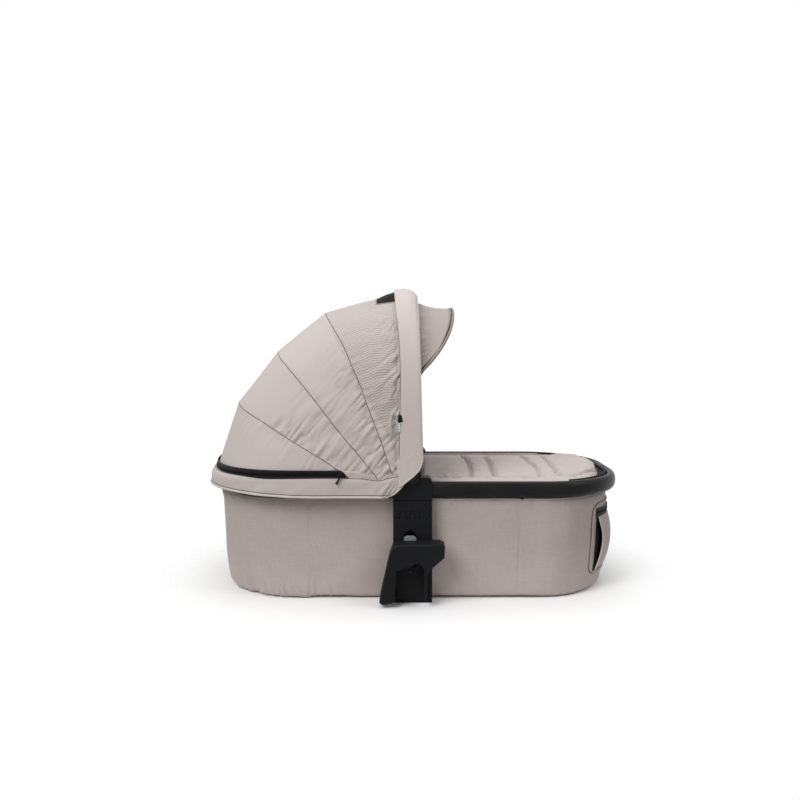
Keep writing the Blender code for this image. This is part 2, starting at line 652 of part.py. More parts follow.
def build_strip(name, angle, half_width, reach, thickness, width, eye_radius, finish):
    """A flat bar bent to the arch, with a round eye on the pin at each end."""
    grids = []
    for inset in (0.0, thickness):
        curve = arch(half_width - inset, reach - inset)
        grids.append([[hood_place(angle, s, y, lift) for lift in (-width / 2, width / 2)]
                      for y, s in curve])
    obj = add_object(name, sheet(*grids), finish)
    for label, side in SIDES.items():
        outer, inner = side * half_width, side * (half_width - thickness)
        eye = cylinder_y(PIVOT_X, PIVOT_Z, eye_radius, outer, inner)
        boolean(obj, eye, f"add_eye_{name}_{label}", "UNION")
        hole = cylinder_y(PIVOT_X, PIVOT_Z, PIN_RADIUS + PIN_RUNNING_GAP,
                          outer + side * OVERRUN, inner - side * OVERRUN)
        boolean(obj, hole, f"cut_eye_{name}_{label}")
    return obj


def build_bows():
    cloth_inset = CLOTH + GAP
    bar = build_strip("front_bow", SEAM_ANGLES[0], FRONT_BAR_OUTER,
                      FRONT_REACH - cloth_inset, FRONT_BAR_THICKNESS, FRONT_BAR_WIDTH,
                      FRONT_EYE_RADIUS, "black_plastic")
    for label, side in SIDES.items():
        seat = cylinder_y(PIVOT_X, PIVOT_Z, PIN_HEAD_RADIUS + PIN_RUNNING_GAP,
                          side * (FRONT_BAR_OUTER - PIN_HEAD_THICKNESS - PIN_RUNNING_GAP),
                          side * (FRONT_BAR_OUTER + OVERRUN))
        boolean(bar, seat, "cut_pin_seat_" + label)
    for number in (1, 2, 3):
        layer = HUB_OUTER + (4 - number) * BOW_PITCH
        build_strip(f"bow_{number}", SEAM_ANGLES[number], layer,
                    SEAM_REACHES[number] - cloth_inset - BOW_DROP, BOW_STRIP_THICKNESS, BOW_STRIP_WIDTH,
                    BOW_EYE_RADIUS, "steel")


def seam_row(number, lift, inset, start=PANEL_START):
    curve = arch(CLOTH_HALF_WIDTH - inset, SEAM_REACHES[number] - inset, start=start, skip=1)
    return [hood_place(SEAM_ANGLES[number], s, y, lift) for y, s in curve]


def between(row_a, row_b, share, sag):
    """A row of points part of the way from one seam to the next, drawn in by the cloth's sag."""
    pivot = Vector((PIVOT_X, 0.0, PIVOT_Z))
    points = []
    for a, b in zip(row_a, row_b):
        point = Vector(a).lerp(Vector(b), share)
        inward = (pivot - point)
        inward.y = 0
        if inward.length > PANEL_START:
            point += inward.normalized() * sag * 4 * share * (1 - share)
        points.append(tuple(point))
    return points


def build_hood_panel(name, make_first, make_last):
    grids = []
    for inset in (0.0, CLOTH):
        first, last = make_first(inset), make_last(inset)
        grids.append([between(first, last, i / PANEL_ROWS, PANEL_SAG) for i in range(PANEL_ROWS + 1)])
    return add_object(name, sheet(*grids), "hood_cloth")


def zip_row(z, inset, reach=ZIP_REACH, start=0.0, skip=0):
    curve = arch(CLOTH_HALF_WIDTH - inset, reach - inset, SKIRT_STRAIGHT, SKIRT_POWER, start=start,
                 skip=skip)
    return [(PIVOT_X - s, y, z) for y, s in curve]


def cut_grip_notch(panel):
    """A rounded opening behind the front bow that lets a hand reach the grip."""
    outline = [(PIVOT_X + GRIP_NOTCH_DEPTH * x, GRIP_NOTCH_HALF_WIDTH * y)
               for x, y in arc(0, 0, 1, 0, 360 - 360 / ROUND_STEPS, ROUND_STEPS - 1)]
    low = PIVOT_Z + FRONT_REACH - GRIP_NOTCH_DEPTH
    rings = [[(x, y, z) for x, y in outline] for z in (low, PIVOT_Z + FRONT_REACH + OVERRUN)]
    boolean(panel, loft(rings), "cut_grip_notch")


def build_hood_cloth():
    for number in (1, 2, 3):
        first_lift = -(GRIP_WIDTH / 2 + GAP) if number == 1 else -GAP
        panel = build_hood_panel(
            f"hood_panel_{number}",
            lambda inset, k=number, lift=first_lift: seam_row(k - 1, lift, inset),
            lambda inset, k=number: seam_row(k, GAP, inset))
        if number == 1:
            cut_grip_notch(panel)
    build_hood_panel("hood_panel_4",
                     lambda inset: seam_row(3, -GAP, inset, 2 * PANEL_START),
                     lambda inset: zip_row(ZIP_TOP + GAP, inset, start=2 * PANEL_START, skip=1))


def build_hood_base():
    skirt_top = ZIP_BOTTOM - GAP
    levels = ((skirt_top, ZIP_REACH), (skirt_top - SKIRT_FLARE, SKIRT_REACH), (SKIRT_BOTTOM, SKIRT_REACH))
    grids = [[zip_row(z, inset, reach, SKIRT_FRONT) for z, reach in levels] for inset in (0.0, CLOTH)]
    add_object("hood_skirt", sheet(*grids), "hood_cloth")

    grids = []
    for inset in (0.0, CLOTH):
        low = zip_row(ZIP_BOTTOM, inset, start=ZIP_END)
        high = zip_row(ZIP_TOP, inset, start=ZIP_END + ZIP_POINT)
        grids.append([low, high])
    add_object("zip_tape", sheet(*grids), "black_zip")

    for label, side in SIDES.items():
        outer, inner = side * (CLOTH_HALF_WIDTH - GAP), side * (CLOTH_HALF_WIDTH - GAP - CLOTH)
        x_front = PIVOT_X - GUSSET_FRONT
        x_rear = PIVOT_X - ZIP_END + GAP
        outline = [(x_front, ZIP_BOTTOM), (x_front, ZIP_BOTTOM + GUSSET_FRONT_HEIGHT),
                   (PIVOT_X - 2 * PANEL_START, ZIP_TOP), (x_rear - ZIP_POINT, ZIP_TOP),
                   (x_rear, ZIP_BOTTOM)]
        add_object("hood_gusset_" + label, extrude_y(outline, outer, inner), "hood_cloth")

    # The slider runs on the left side of the zip, near its end
    x = PIVOT_X - ZIP_END - ZIP_POINT - ZIP_SLIDER_SETBACK
    z = ZIP_BOTTOM + ZIP_HEIGHT / 2
    near = -(CLOTH_HALF_WIDTH + GAP)
    far = near - ZIP_SLIDER_THICKNESS
    half_length, half_height = ZIP_SLIDER_LENGTH / 2, ZIP_SLIDER_HEIGHT / 2
    half_pull = ZIP_PULL_WIDTH / 2
    pull_end = z - half_height - ZIP_PULL_LENGTH
    outline = [(x - half_length, z - half_height), (x - half_pull, z - half_height),
               (x - half_pull, pull_end + half_pull), (x, pull_end), (x + half_pull, pull_end + half_pull),
               (x + half_pull, z - half_height), (x + half_length, z - half_height),
               (x + half_length, z + half_height), (x - half_length, z + half_height)]
    add_object("zip_slider", extrude_y(outline, near, far), "black_plastic")


def band_half(side, inset):
    """Rows up one leg of the front band, from its slanted lower end to the handle grip."""
    half_width = BAND_HALF_WIDTH - inset
    reach = FRONT_REACH + GAP + BAND_THICKNESS - inset
    curve = [p for p in arch(half_width, reach, steps=2 * BOW_STEPS) if p[0] < -GRIP_LENGTH / 2]
    rows = []
    for lift in (-BAND_WIDTH / 2, -BAND_WIDTH / 4, BAND_WIDTH / 4, BAND_WIDTH / 2):
        start = BAND_START + BAND_SLANT_SHARE * lift
        row = [hood_place(SEAM_ANGLES[0], start, side * half_width, lift)]
        row += [hood_place(SEAM_ANGLES[0], s, -side * y, lift) for y, s in curve[1:]
                if s > BAND_START + BAND_WIDTH / 2]
        rows.append(row)
    return rows


def grip_curve(inset):
    """The stretch of the front bar's face that the grip covers, ending square at its length."""
    curve = arch(FRONT_BAR_OUTER - inset, FRONT_REACH - CLOTH - GAP - inset)
    limit = GRIP_LENGTH / 2 - 4 * GAP
    points = []
    for (y_a, s_a), (y_b, s_b) in zip(curve, curve[1:]):
        for edge in (-limit, limit):
            if y_a < edge < y_b:
                points.append((edge, s_a + (s_b - s_a) * (edge - y_a) / (y_b - y_a)))
        if abs(y_b) < limit:
            points.append((y_b, s_b))
    return points


def build_band_and_grip():
    for label, side in SIDES.items():
        add_object("front_band_" + label,
                   sheet(band_half(side, 0.0), band_half(side, BAND_THICKNESS)), "hood_cloth")

    skin = (GRIP_THICKNESS - FRONT_BAR_THICKNESS) / 2
    soft = GRIP_THICKNESS / 4
    wide = FRONT_BAR_WIDTH / 2 + GRIP_WALL_GAP
    grip = GRIP_WIDTH / 2
    outer_rings, inner_rings = [], []
    for (y, low), (_, high) in zip(grip_curve(FRONT_BAR_THICKNESS), grip_curve(0.0)):
        low -= GRIP_WALL_GAP
        high += GRIP_WALL_GAP
        bore = [(-wide, low), (wide, low), (wide, high), (-wide, high)]
        pad = [(-grip, low - skin + soft), (grip, low - skin + soft),
               (grip, high + skin - soft), (-grip, high + skin - soft)]
        outer_rings.append([hood_place(SEAM_ANGLES[0], r, y, lift) for lift, r in pad])
        inner_rings.append([hood_place(SEAM_ANGLES[0], r, y, lift) for lift, r in bore])
    obj = add_object("handle_grip", hollow_sweep(outer_rings, inner_rings), "black_grip")
    bevel(obj, GRIP_THICKNESS / 5, 2, 60)


def visor_pivot():
    return hood_place(SEAM_ANGLES[0], VISOR_PIVOT_REACH, 0.0)


def visor_place(reach, y, lift=0.0):
    """A point in the visor's plane, which leans forward from the front bow."""
    x0, _, z0 = visor_pivot()
    a = math.radians(SEAM_ANGLES[0] + VISOR_ANGLE)
    return (x0 - reach * math.cos(a) + lift * math.sin(a), y,
            z0 + reach * math.sin(a) + lift * math.cos(a))


def bar_face(reach):
    """The y of the front bar's inner face at a reach along its leg."""
    share = (reach - BOW_STRAIGHT) / FRONT_BAR_HEIGHT
    return FRONT_BAR_INNER * (1 - share ** ARCH_POWER) ** (1 / ARCH_POWER)


def build_visor():
    bar_inner = bar_face(VISOR_PIVOT_REACH)
    half_width = bar_inner - VISOR_CLEARANCE
    grids = []
    for inset in (0.0, BRIM_THICKNESS):
        curve = arch(half_width - inset, VISOR_REACH - inset, BRIM_STRAIGHT, VISOR_POWER)
        grids.append([[visor_place(s, y, lift) for lift in (-BRIM_WIDTH / 2, BRIM_WIDTH / 2)]
                      for y, s in curve])
    brim = add_object("visor_brim", sheet(*grids), "black_plastic")
    bar = bpy.data.objects["front_bow"]
    x, _, z = visor_pivot()
    brim_inner = half_width - BRIM_THICKNESS
    for label, side in SIDES.items():
        eye = cylinder_y(x, z, BRIM_EYE_RADIUS, side * half_width, side * brim_inner)
        boolean(brim, eye, "add_brim_eye_" + label, "UNION")
        hole = cylinder_y(x, z, RIVET_RADIUS + GAP, side * (brim_inner - OVERRUN),
                          side * (half_width + RIVET_SLACK))
        boolean(brim, hole, "cut_brim_eye_" + label)
        hole = cylinder_y(x, z, RIVET_RADIUS + GAP, side * half_width,
                          side * (CLOTH_HALF_WIDTH + OVERRUN))
        boolean(bar, hole, "cut_rivet_" + label)
        profile = [(RIVET_HEAD_RADIUS, brim_inner - GAP - RIVET_HEAD), (RIVET_HEAD_RADIUS, brim_inner - GAP),
                   (RIVET_RADIUS, brim_inner - GAP), (RIVET_RADIUS, half_width + GAP),
                   (RIVET_COLLAR_RADIUS, half_width + GAP),
                   (RIVET_COLLAR_RADIUS, bar_inner - RIVET_SLACK), (RIVET_RADIUS, bar_inner - RIVET_SLACK),
                   (RIVET_RADIUS, bar_inner + FRONT_BAR_THICKNESS / 2)]
        add_turned("visor_rivet_" + label, x, z, side, profile, "steel")

    start_turn = math.degrees(math.asin((VISOR_CLOTH_START / VISOR_REACH)))
    grids = []
    for inset in (0.0, VISOR_CLOTH):
        rim = [visor_place(s, y, -BRIM_WIDTH / 2 - GAP)
               for y, s in arch(half_width - inset, VISOR_REACH - inset, 0.0, VISOR_POWER,
                                BOW_STEPS, turn_from=start_turn)]
        hem = [hood_place(SEAM_ANGLES[0], s, y, BAND_WIDTH / 2 + GAP)
               for y, s in arch(CLOTH_HALF_WIDTH - BAND_THICKNESS - inset,
                                FRONT_REACH - BAND_THICKNESS - inset, steps=BOW_STEPS, turn_from=24)]
        grids.append([hem, between(hem, rim, 0.5, -PANEL_SAG), rim])
    add_object("visor_cloth", sheet(*grids), "hood_cloth")


# Cot body

def tub_rings(inset, bottom, top, top_size, edge=COVER_EDGE):
    """Closed rings from the flat bottom up a rounded edge to the top of a tub."""
    radius = max(edge - inset, edge / 4)
    rings = []
    size_top = [value - inset for value in top_size]
    size_base = [value - inset for value in
                 (COVER_BASE_HALF_LENGTH, COVER_BASE_HALF_WIDTH, COVER_BASE_CORNER)]
    for i in range(5):
        angle = math.radians(90 * i / 4)
        pull = radius * (1 - math.sin(angle))
        z = bottom + radius * (1 - math.cos(angle))
        size = [value - pull for value in size_base]
        rings.append((size, z))
    rings.append((size_top, top))
    return [[(x, y, z) for x, y in rounded_plan(*size)] for size, z in rings]


def build_tub(name, inset, wall, bottom, top, top_size, finish):
    outer = tub_rings(inset, bottom, top, top_size)
    inner = tub_rings(inset + wall, bottom + wall, top, top_size)
    return add_object(name, loft(outer + list(reversed(inner))), finish)


def cut_hub_notches(obj, tag):
    for label, side in SIDES.items():
        low = (HUB_REAR - GAP, side * (HUB_INNER - GAP), HUB_BOTTOM - GAP)
        high = (HUB_FRONT + GAP, side * (HUB_OUTER + OVERRUN), RIM_TOP + OVERRUN)
        boolean(obj, box(low, high), f"cut_hub_{tag}_{label}")


def wall_size(z, inset):
    """The cover's plan sizes at a height on its straight wall."""
    share = (z - COVER_BOTTOM - COVER_EDGE) / (COVER_TOP - COVER_BOTTOM - COVER_EDGE)
    base = (COVER_BASE_HALF_LENGTH, COVER_BASE_HALF_WIDTH, COVER_BASE_CORNER)
    top = (COVER_TOP_HALF_LENGTH, COVER_TOP_HALF_WIDTH, COVER_TOP_CORNER)
    return [a + (b - a) * share - inset for a, b in zip(base, top)]


def build_cot():
    cover_top = (COVER_TOP_HALF_LENGTH, COVER_TOP_HALF_WIDTH, COVER_TOP_CORNER)
    cover = build_tub("outer_cover", 0.0, COVER_WALL, COVER_BOTTOM, COVER_TOP, cover_top, "basin_cloth")
    cut_hub_notches(cover, "cover")

    tray_top = TRAY_BOTTOM + TRAY_LIP
    tray_size = wall_size(tray_top, 0.0)
    build_tub("base_tray", TRAY_INSET, TRAY_WALL, TRAY_BOTTOM, tray_top, tray_size, "board")

    liner_top = [size + LINER_INSET for size in
                 (LINER_TOP_HALF_LENGTH, LINER_TOP_HALF_WIDTH, LINER_TOP_CORNER)]
    liner = build_tub("inner_liner", LINER_INSET, LINER_WALL, LINER_BOTTOM, LINER_TOP, liner_top,
                      "lining_cloth")
    cut_hub_notches(liner, "liner")

    inset = LINER_INSET + LINER_WALL + MATTRESS_CLEARANCE
    rings = []
    for pull, z in ((MATTRESS_EDGE, 0.0), (0.0, MATTRESS_EDGE), (0.0, MATTRESS_HEIGHT - MATTRESS_EDGE),
                    (MATTRESS_EDGE / 3, MATTRESS_HEIGHT - MATTRESS_EDGE / 3),
                    (MATTRESS_EDGE, MATTRESS_HEIGHT)):
        size = (COVER_BASE_HALF_LENGTH - inset - pull, COVER_BASE_HALF_WIDTH - inset - pull,
                COVER_BASE_CORNER - inset - pull)
        foot = COVER_EDGE if z == 0.0 else 0.0
        size = [value - foot / 2 for value in size]
        rings.append([(x, y, MATTRESS_BOTTOM + z) for x, y in rounded_plan(*size)])
    add_object("mattress", loft(rings), "foam_cloth")


def apron_edge():
    """Points (x, half width) along the apron's side, just inside the liner at the apron's height."""
    inset = LINER_INSET + LINER_WALL
    foot = LINER_BOTTOM + LINER_WALL + COVER_EDGE - inset
    share = (APRON_BOTTOM - foot) / (LINER_TOP - foot)
    base = (COVER_BASE_HALF_LENGTH, COVER_BASE_HALF_WIDTH, COVER_BASE_CORNER)
    top = (LINER_TOP_HALF_LENGTH, LINER_TOP_HALF_WIDTH, LINER_TOP_CORNER)
    size = [a - inset + (b - LINER_WALL - a + inset) * share - GAP for a, b in zip(base, top)]
    corner = rounded_plan(*size)[:CORNER_STEPS + 1]
    return [(APRON_START, corner[-1][1])] + list(reversed(corner))


def apron_rows(x_start, x_end, steps):
    """Rows (x, half width) from one end to the other, with a row at each corner of the edge."""
    edge = apron_edge()
    places = [x_start + (x_end - x_start) * i / steps for i in range(steps + 1)]
    pitch = (x_end - x_start) / steps
    for x, _ in edge:
        if x_start < x < x_end:
            places = [p for p in places if p in (x_start, x_end) or abs(p - x) > pitch / 2] + [x]
    rows = []
    for x in sorted(places):
        for (x_a, y_a), (x_b, y_b) in zip(edge, edge[1:]):
            if x_a <= x < x_b:
                rows.append((x, y_a + (y_b - y_a) * (x - x_a) / (x_b - x_a)))
    return rows


def apron_height(x, share):
    """The quilted top's height at x, with the share from the middle (0) to the edge (1)."""
    crown = APRON_CROWN * (1 - share ** 4)
    dip = 0.0
    for share_along in APRON_CHANNEL_SHARES:
        place = APRON_START + share_along * (APRON_HINGE - APRON_START)
        dip = max(dip, math.exp(-((x - place) / (APRON_CHANNEL_WIDTH / 2)) ** 2))
    return APRON_EDGE_TOP + crown - APRON_CHANNEL_DEPTH * dip * (1 - share ** 6)


def build_apron(name, x_start, x_end, steps):
    top, low = [], []
    for x, half in apron_rows(x_start, x_end, steps):
        top_row, low_row = [], []
        for j in range(APRON_COLUMNS + 1):
            share = 2 * j / APRON_COLUMNS - 1
            top_row.append((x, half * share, apron_height(x, abs(share))))
            low_row.append((x, half * share, APRON_BOTTOM))
        top.append(top_row)
        low.append(low_row)
    add_object(name, sheet(top, low), "hood_cloth")


def foot_end_row(z, offset, steps):
    """Points round the foot end of the cover at a height, some corner steps to each side."""
    plan = rounded_plan(*wall_size(z, -offset))
    right = plan[:CORNER_STEPS + 1]
    left = plan[-CORNER_STEPS - 1:]
    return [(x, y, z) for x, y in left[-steps - 1:] + right[:steps + 1]]


def build_pocket():
    """The pocket bag and its zip, wrapped round the foot end of the cover."""
    grids = []
    for skin in (POCKET_CLOTH, 0.0):
        rows = []
        for i in range(POCKET_ROWS + 1):
            z = POCKET_BOTTOM + (POCKET_TOP - POCKET_BOTTOM) * i / POCKET_ROWS
            swell = POCKET_BULGE * math.sin(math.pi * i / POCKET_ROWS) ** POCKET_SWELL_SHARE
            flat = foot_end_row(z, GAP + skin, POCKET_STEPS)
            full = foot_end_row(z, GAP + skin + swell, POCKET_STEPS)
            last = len(flat) - 1
            rows.append([tuple(Vector(a).lerp(Vector(b), math.sin(math.pi * j / last) ** POCKET_SWELL_SHARE))
                         for j, (a, b) in enumerate(zip(flat, full))])
        grids.append(rows)
    add_object("foot_pocket", sheet(*grids), "basin_cloth")

    low = POCKET_TOP + GAP
    grids = [[foot_end_row(z, GAP + skin, POCKET_STEPS) for z in (low, low + POCKET_ZIP_HEIGHT)]
             for skin in (POCKET_CLOTH, 0.0)]
    add_object("pocket_zip", sheet(*grids), "black_zip")


def build_underside():
    brace = add_object("under_brace", box((HUB_REAR, -HUB_OUTER, 0.0),
                                          (HUB_FRONT, HUB_OUTER, BRACE_THICKNESS)), "black_plastic")
    bevel(brace, BRACE_EDGE / 2, 1)
    for end, x_sign in (("head", -1), ("foot", 1)):
        for label, side in SIDES.items():
            x, y = x_sign * FOOT_X, side * FOOT_Y
            rings = [[(a, b, z) for a, b in arc(x, y, radius, 0, 360 - 360 / ROUND_STEPS, ROUND_STEPS - 1)]
                     for radius, z in ((FOOT_RADIUS - FOOT_EDGE, 0.0), (FOOT_RADIUS, FOOT_EDGE),
                                       (FOOT_RADIUS, BRACE_THICKNESS))]
            add_object(f"{end}_foot_{label}", loft(rings), "black_grip")


def main():
    clear_scene()
    build_rim("rim_front", 1, HUB_FRONT - HUB_TUBE_REACH)
    build_rim("rim_rear", -1, HUB_REAR + HUB_TUBE_REACH)
    for label, side in SIDES.items():
        build_hub(label, side)
        build_carrier(label, side)
        build_latch(label, side)
        build_adapter(label, side)
    build_bows()
    build_hood_cloth()
    build_hood_base()
    build_band_and_grip()
    build_visor()
    build_cot()
    build_apron("apron_flap", APRON_START, APRON_HINGE - GAP, APRON_FLAP_ROWS)
    build_apron("apron_foot", APRON_HINGE + GAP, APRON_END, APRON_FOOT_ROWS)
    build_pocket()
    build_underside()


main()
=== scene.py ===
# Looks of the carrycot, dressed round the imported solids. Metres, +Z up, +X to the foot end.

import json
import math

import bpy
import numpy as np
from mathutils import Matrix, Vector
from mathutils.bvhtree import BVHTree


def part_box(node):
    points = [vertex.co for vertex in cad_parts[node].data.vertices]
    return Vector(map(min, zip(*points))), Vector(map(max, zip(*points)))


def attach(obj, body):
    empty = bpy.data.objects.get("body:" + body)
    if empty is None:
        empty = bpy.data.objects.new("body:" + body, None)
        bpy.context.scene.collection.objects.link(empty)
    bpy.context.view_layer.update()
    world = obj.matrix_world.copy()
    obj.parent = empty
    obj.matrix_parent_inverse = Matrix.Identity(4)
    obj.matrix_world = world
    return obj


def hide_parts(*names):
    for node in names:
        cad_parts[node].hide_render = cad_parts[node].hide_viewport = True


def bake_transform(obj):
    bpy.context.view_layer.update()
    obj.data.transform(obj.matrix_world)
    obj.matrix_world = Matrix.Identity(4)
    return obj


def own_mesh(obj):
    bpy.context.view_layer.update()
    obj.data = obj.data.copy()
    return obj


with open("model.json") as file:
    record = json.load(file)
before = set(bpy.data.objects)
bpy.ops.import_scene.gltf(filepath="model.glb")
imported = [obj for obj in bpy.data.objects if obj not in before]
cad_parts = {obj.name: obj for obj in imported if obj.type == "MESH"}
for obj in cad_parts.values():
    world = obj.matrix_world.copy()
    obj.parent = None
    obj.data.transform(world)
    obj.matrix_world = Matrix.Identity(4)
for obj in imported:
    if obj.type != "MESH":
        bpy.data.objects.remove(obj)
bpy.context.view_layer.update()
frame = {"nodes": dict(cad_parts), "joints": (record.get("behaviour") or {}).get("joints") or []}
nodes = frame["nodes"]
joints = {j["name"]: j for j in frame["joints"]}
print("frame loaded:", len(nodes), "solids")


# Small tools for making meshes

def smoothStep(value, low, high):
    share = np.clip((value - low) / (high - low), 0, 1)
    return share * share * (3 - 2 * share)


def latticeNoise(x, y, seed):  # smooth noise from -1 to 1, the same every run
    cellX, cellY = np.floor(x), np.floor(y)
    partX, partY = x - cellX, y - cellY
    partX, partY = partX ** 2 * (3 - 2 * partX), partY ** 2 * (3 - 2 * partY)

    def corner(stepX, stepY):
        mixed = np.sin((cellX + stepX) * 127.1 + (cellY + stepY) * 311.7 + seed * 74.7) * 43758.5453
        return (mixed - np.floor(mixed)) * 2 - 1

    low = corner(0, 0) * (1 - partX) + corner(1, 0) * partX
    high = corner(0, 1) * (1 - partX) + corner(1, 1) * partX
    return low * (1 - partY) + high * partY


def gridNormals(points, outwards, wrap=False):
    wide = np.concatenate([points[:, -1:], points, points[:, :1]], axis=1) if wrap else points
    across = np.gradient(wide, axis=1)
    across = across[:, 1:-1] if wrap else across
    normals = np.cross(np.gradient(points, axis=0), across)
    normals /= np.maximum(np.linalg.norm(normals, axis=2, keepdims=True), 1e-9)
    return -normals if (normals * outwards).sum() < 0 else normals


def stepsAlong(points):  # distance run along a row of points
    steps = np.linalg.norm(np.diff(points, axis=0), axis=1)
    return np.concatenate([[0], np.cumsum(steps)])


def rowRuns(points):  # the same for every row of a grid
    return np.stack([stepsAlong(row) for row in points])


def newPiece(name, verts, faces, uvs, materials, faceSlots=None, sharpAngle=50):
    mesh = bpy.data.meshes.new(name)
    mesh.from_pydata([tuple(v) for v in verts], [], faces)
    layer = mesh.uv_layers.new(name="clothMap")
    layer.data.foreach_set("uv", np.array(uvs, np.float32).ravel())
    for material in materials:
        mesh.materials.append(material)
    if faceSlots is not None:
        mesh.polygons.foreach_set("material_index", np.array(faceSlots, np.int32))
    mesh.shade_smooth()
    mesh.set_sharp_from_angle(angle=math.radians(sharpAngle))
    piece = bpy.data.objects.new(name, mesh)
    bpy.context.scene.collection.objects.link(piece)
    return piece


def gridPiece(name, points, uvs, materials, wrap=False, caps=False, rowSlots=None, flip=False):
    rows, cols = points.shape[:2]
    faces, loops, slots = [], [], []
    for r in range(rows - 1):
        for c in range(cols if wrap else cols - 1):
            d = (c + 1) % cols
            quad = [r * cols + c, r * cols + d, (r + 1) * cols + d, (r + 1) * cols + c]
            corners = [uvs[r, c], uvs[r, c + 1], uvs[r + 1, c + 1], uvs[r + 1, c]]
            if flip:
                quad, corners = quad[::-1], corners[::-1]
            faces.append(quad)
            loops.extend(corners)
            slots.append(rowSlots[r] if rowSlots is not None else 0)
    if caps:
        for r, turn in ((0, 1), (rows - 1, -1)):
            ring = list(range(r * cols, (r + 1) * cols))[::-turn if flip else turn]
            faces.append(ring[::-1])
            loops.extend([uvs[r, 0]] * cols)
            slots.append(0)
    return newPiece(name, points.reshape(-1, 3), faces, loops, materials, slots)


def metreMap(points, wrap=False):  # a map in metres: u along the rows, v from row to row
    closed = np.concatenate([points, points[:, :1]], axis=1) if wrap else points
    u = rowRuns(closed)
    middle = points[:, points.shape[1] // 2]
    v = np.repeat(stepsAlong(middle)[:, None], u.shape[1], axis=1)
    return np.stack([u, v], axis=2)


def gridArea(points):
    edgeA, edgeB = points[1:, :-1] - points[:-1, :-1], points[:-1, 1:] - points[:-1, :-1]
    return float(np.linalg.norm(np.cross(edgeA, edgeB), axis=2).sum())


def sheetPiece(name, outer, inner, uvs, materials, wrap=False, rowSlots=None, innerSlot=0, rimSlot=0):
    # A closed sheet between two matching grids, with sharp edges all round
    rows, cols = outer.shape[:2]
    count = rows * cols
    faces, loops, slots = [], [], []
    out = np.cross(outer[1, 0] - outer[0, 0], outer[0, 1] - outer[0, 0])
    turned = float(out @ (outer[0, 0] - inner[0, 0])) > 0

    def face(corners, places, slot):
        faces.append(corners[::-1] if turned else corners)
        loops.extend([uvs[r, c] for r, c in (places[::-1] if turned else places)])
        slots.append(slot)

    for r in range(rows - 1):
        slot = rowSlots[r] if rowSlots is not None else 0
        for c in range(cols if wrap else cols - 1):
            d = (c + 1) % cols
            a, b, e, f = r * cols + c, r * cols + d, (r + 1) * cols + d, (r + 1) * cols + c
            places = [(r, c), (r, c + 1), (r + 1, c + 1), (r + 1, c)]
            face([a, b, e, f], places, slot)
            face([count + f, count + e, count + b, count + a], places[::-1], innerSlot)
    last = (rows - 1) * cols
    for c in range(cols if wrap else cols - 1):
        d = (c + 1) % cols
        face([d, c, count + c, count + d], [(0, c + 1), (0, c), (0, c), (0, c + 1)], rimSlot)
        face([last + c, last + d, count + last + d, count + last + c],
             [(rows - 1, c), (rows - 1, c + 1), (rows - 1, c + 1), (rows - 1, c)], rimSlot)
    if not wrap:
        for r in range(rows - 1):
            a, b = r * cols, (r + 1) * cols
            face([a, b, count + b, count + a], [(r, 0), (r + 1, 0), (r + 1, 0), (r, 0)], rimSlot)
            a, b = b - 1, b + cols - 1
            face([b, a, count + a, count + b],
                 [(r + 1, cols - 1), (r, cols - 1), (r, cols - 1), (r + 1, cols - 1)], rimSlot)
    verts = np.concatenate([outer.reshape(-1, 3), inner.reshape(-1, 3)])
    return newPiece(name, verts, faces, loops, materials, slots)


def clothSheet(name, points, centre, thickness, materials, wrap=False, **slots):
    normals = gridNormals(points, points - np.array(centre, float), wrap)
    uvs = metreMap(points, wrap)
    return sheetPiece(name, points, points - normals * thickness, uvs, materials, wrap, **slots)


def smoothCurve(x, xs, ys):  # a rounded line through given points
    xs, ys = np.array(xs, float), np.array(ys, float)
    slopes = np.gradient(ys, xs)
    place = np.clip(np.searchsorted(xs, x) - 1, 0, len(xs) - 2)
    width = xs[place + 1] - xs[place]
    t = np.clip((x - xs[place]) / width, 0, 1)
    return ((2 * t ** 3 - 3 * t ** 2 + 1) * ys[place] + (t ** 3 - 2 * t ** 2 + t) * width * slopes[place]
            + (3 * t ** 2 - 2 * t ** 3) * ys[place + 1] + (t ** 3 - t ** 2) * width * slopes[place + 1])


def planOutline(halfLength, halfWidth, corner, count):  # even points round a rounded plan, from the foot end
    loop = [np.array([[halfLength, 0.0]])]
    for signX, signY, start in ((1, 1, 0), (-1, 1, 90), (-1, -1, 180), (1, -1, 270)):
        turns = np.radians(start + np.linspace(0, 90, 60))
        loop.append(np.stack([signX * (halfLength - corner) + corner * np.cos(turns),
                              signY * (halfWidth - corner) + corner * np.sin(turns)], axis=1))
    loop = np.concatenate(loop + [np.array([[halfLength, 0.0]])])
    run = stepsAlong(loop)
    places = np.linspace(0, run[-1], count, endpoint=False)
    return np.stack([np.interp(places, run, loop[:, 0]), np.interp(places, run, loop[:, 1])], axis=1)


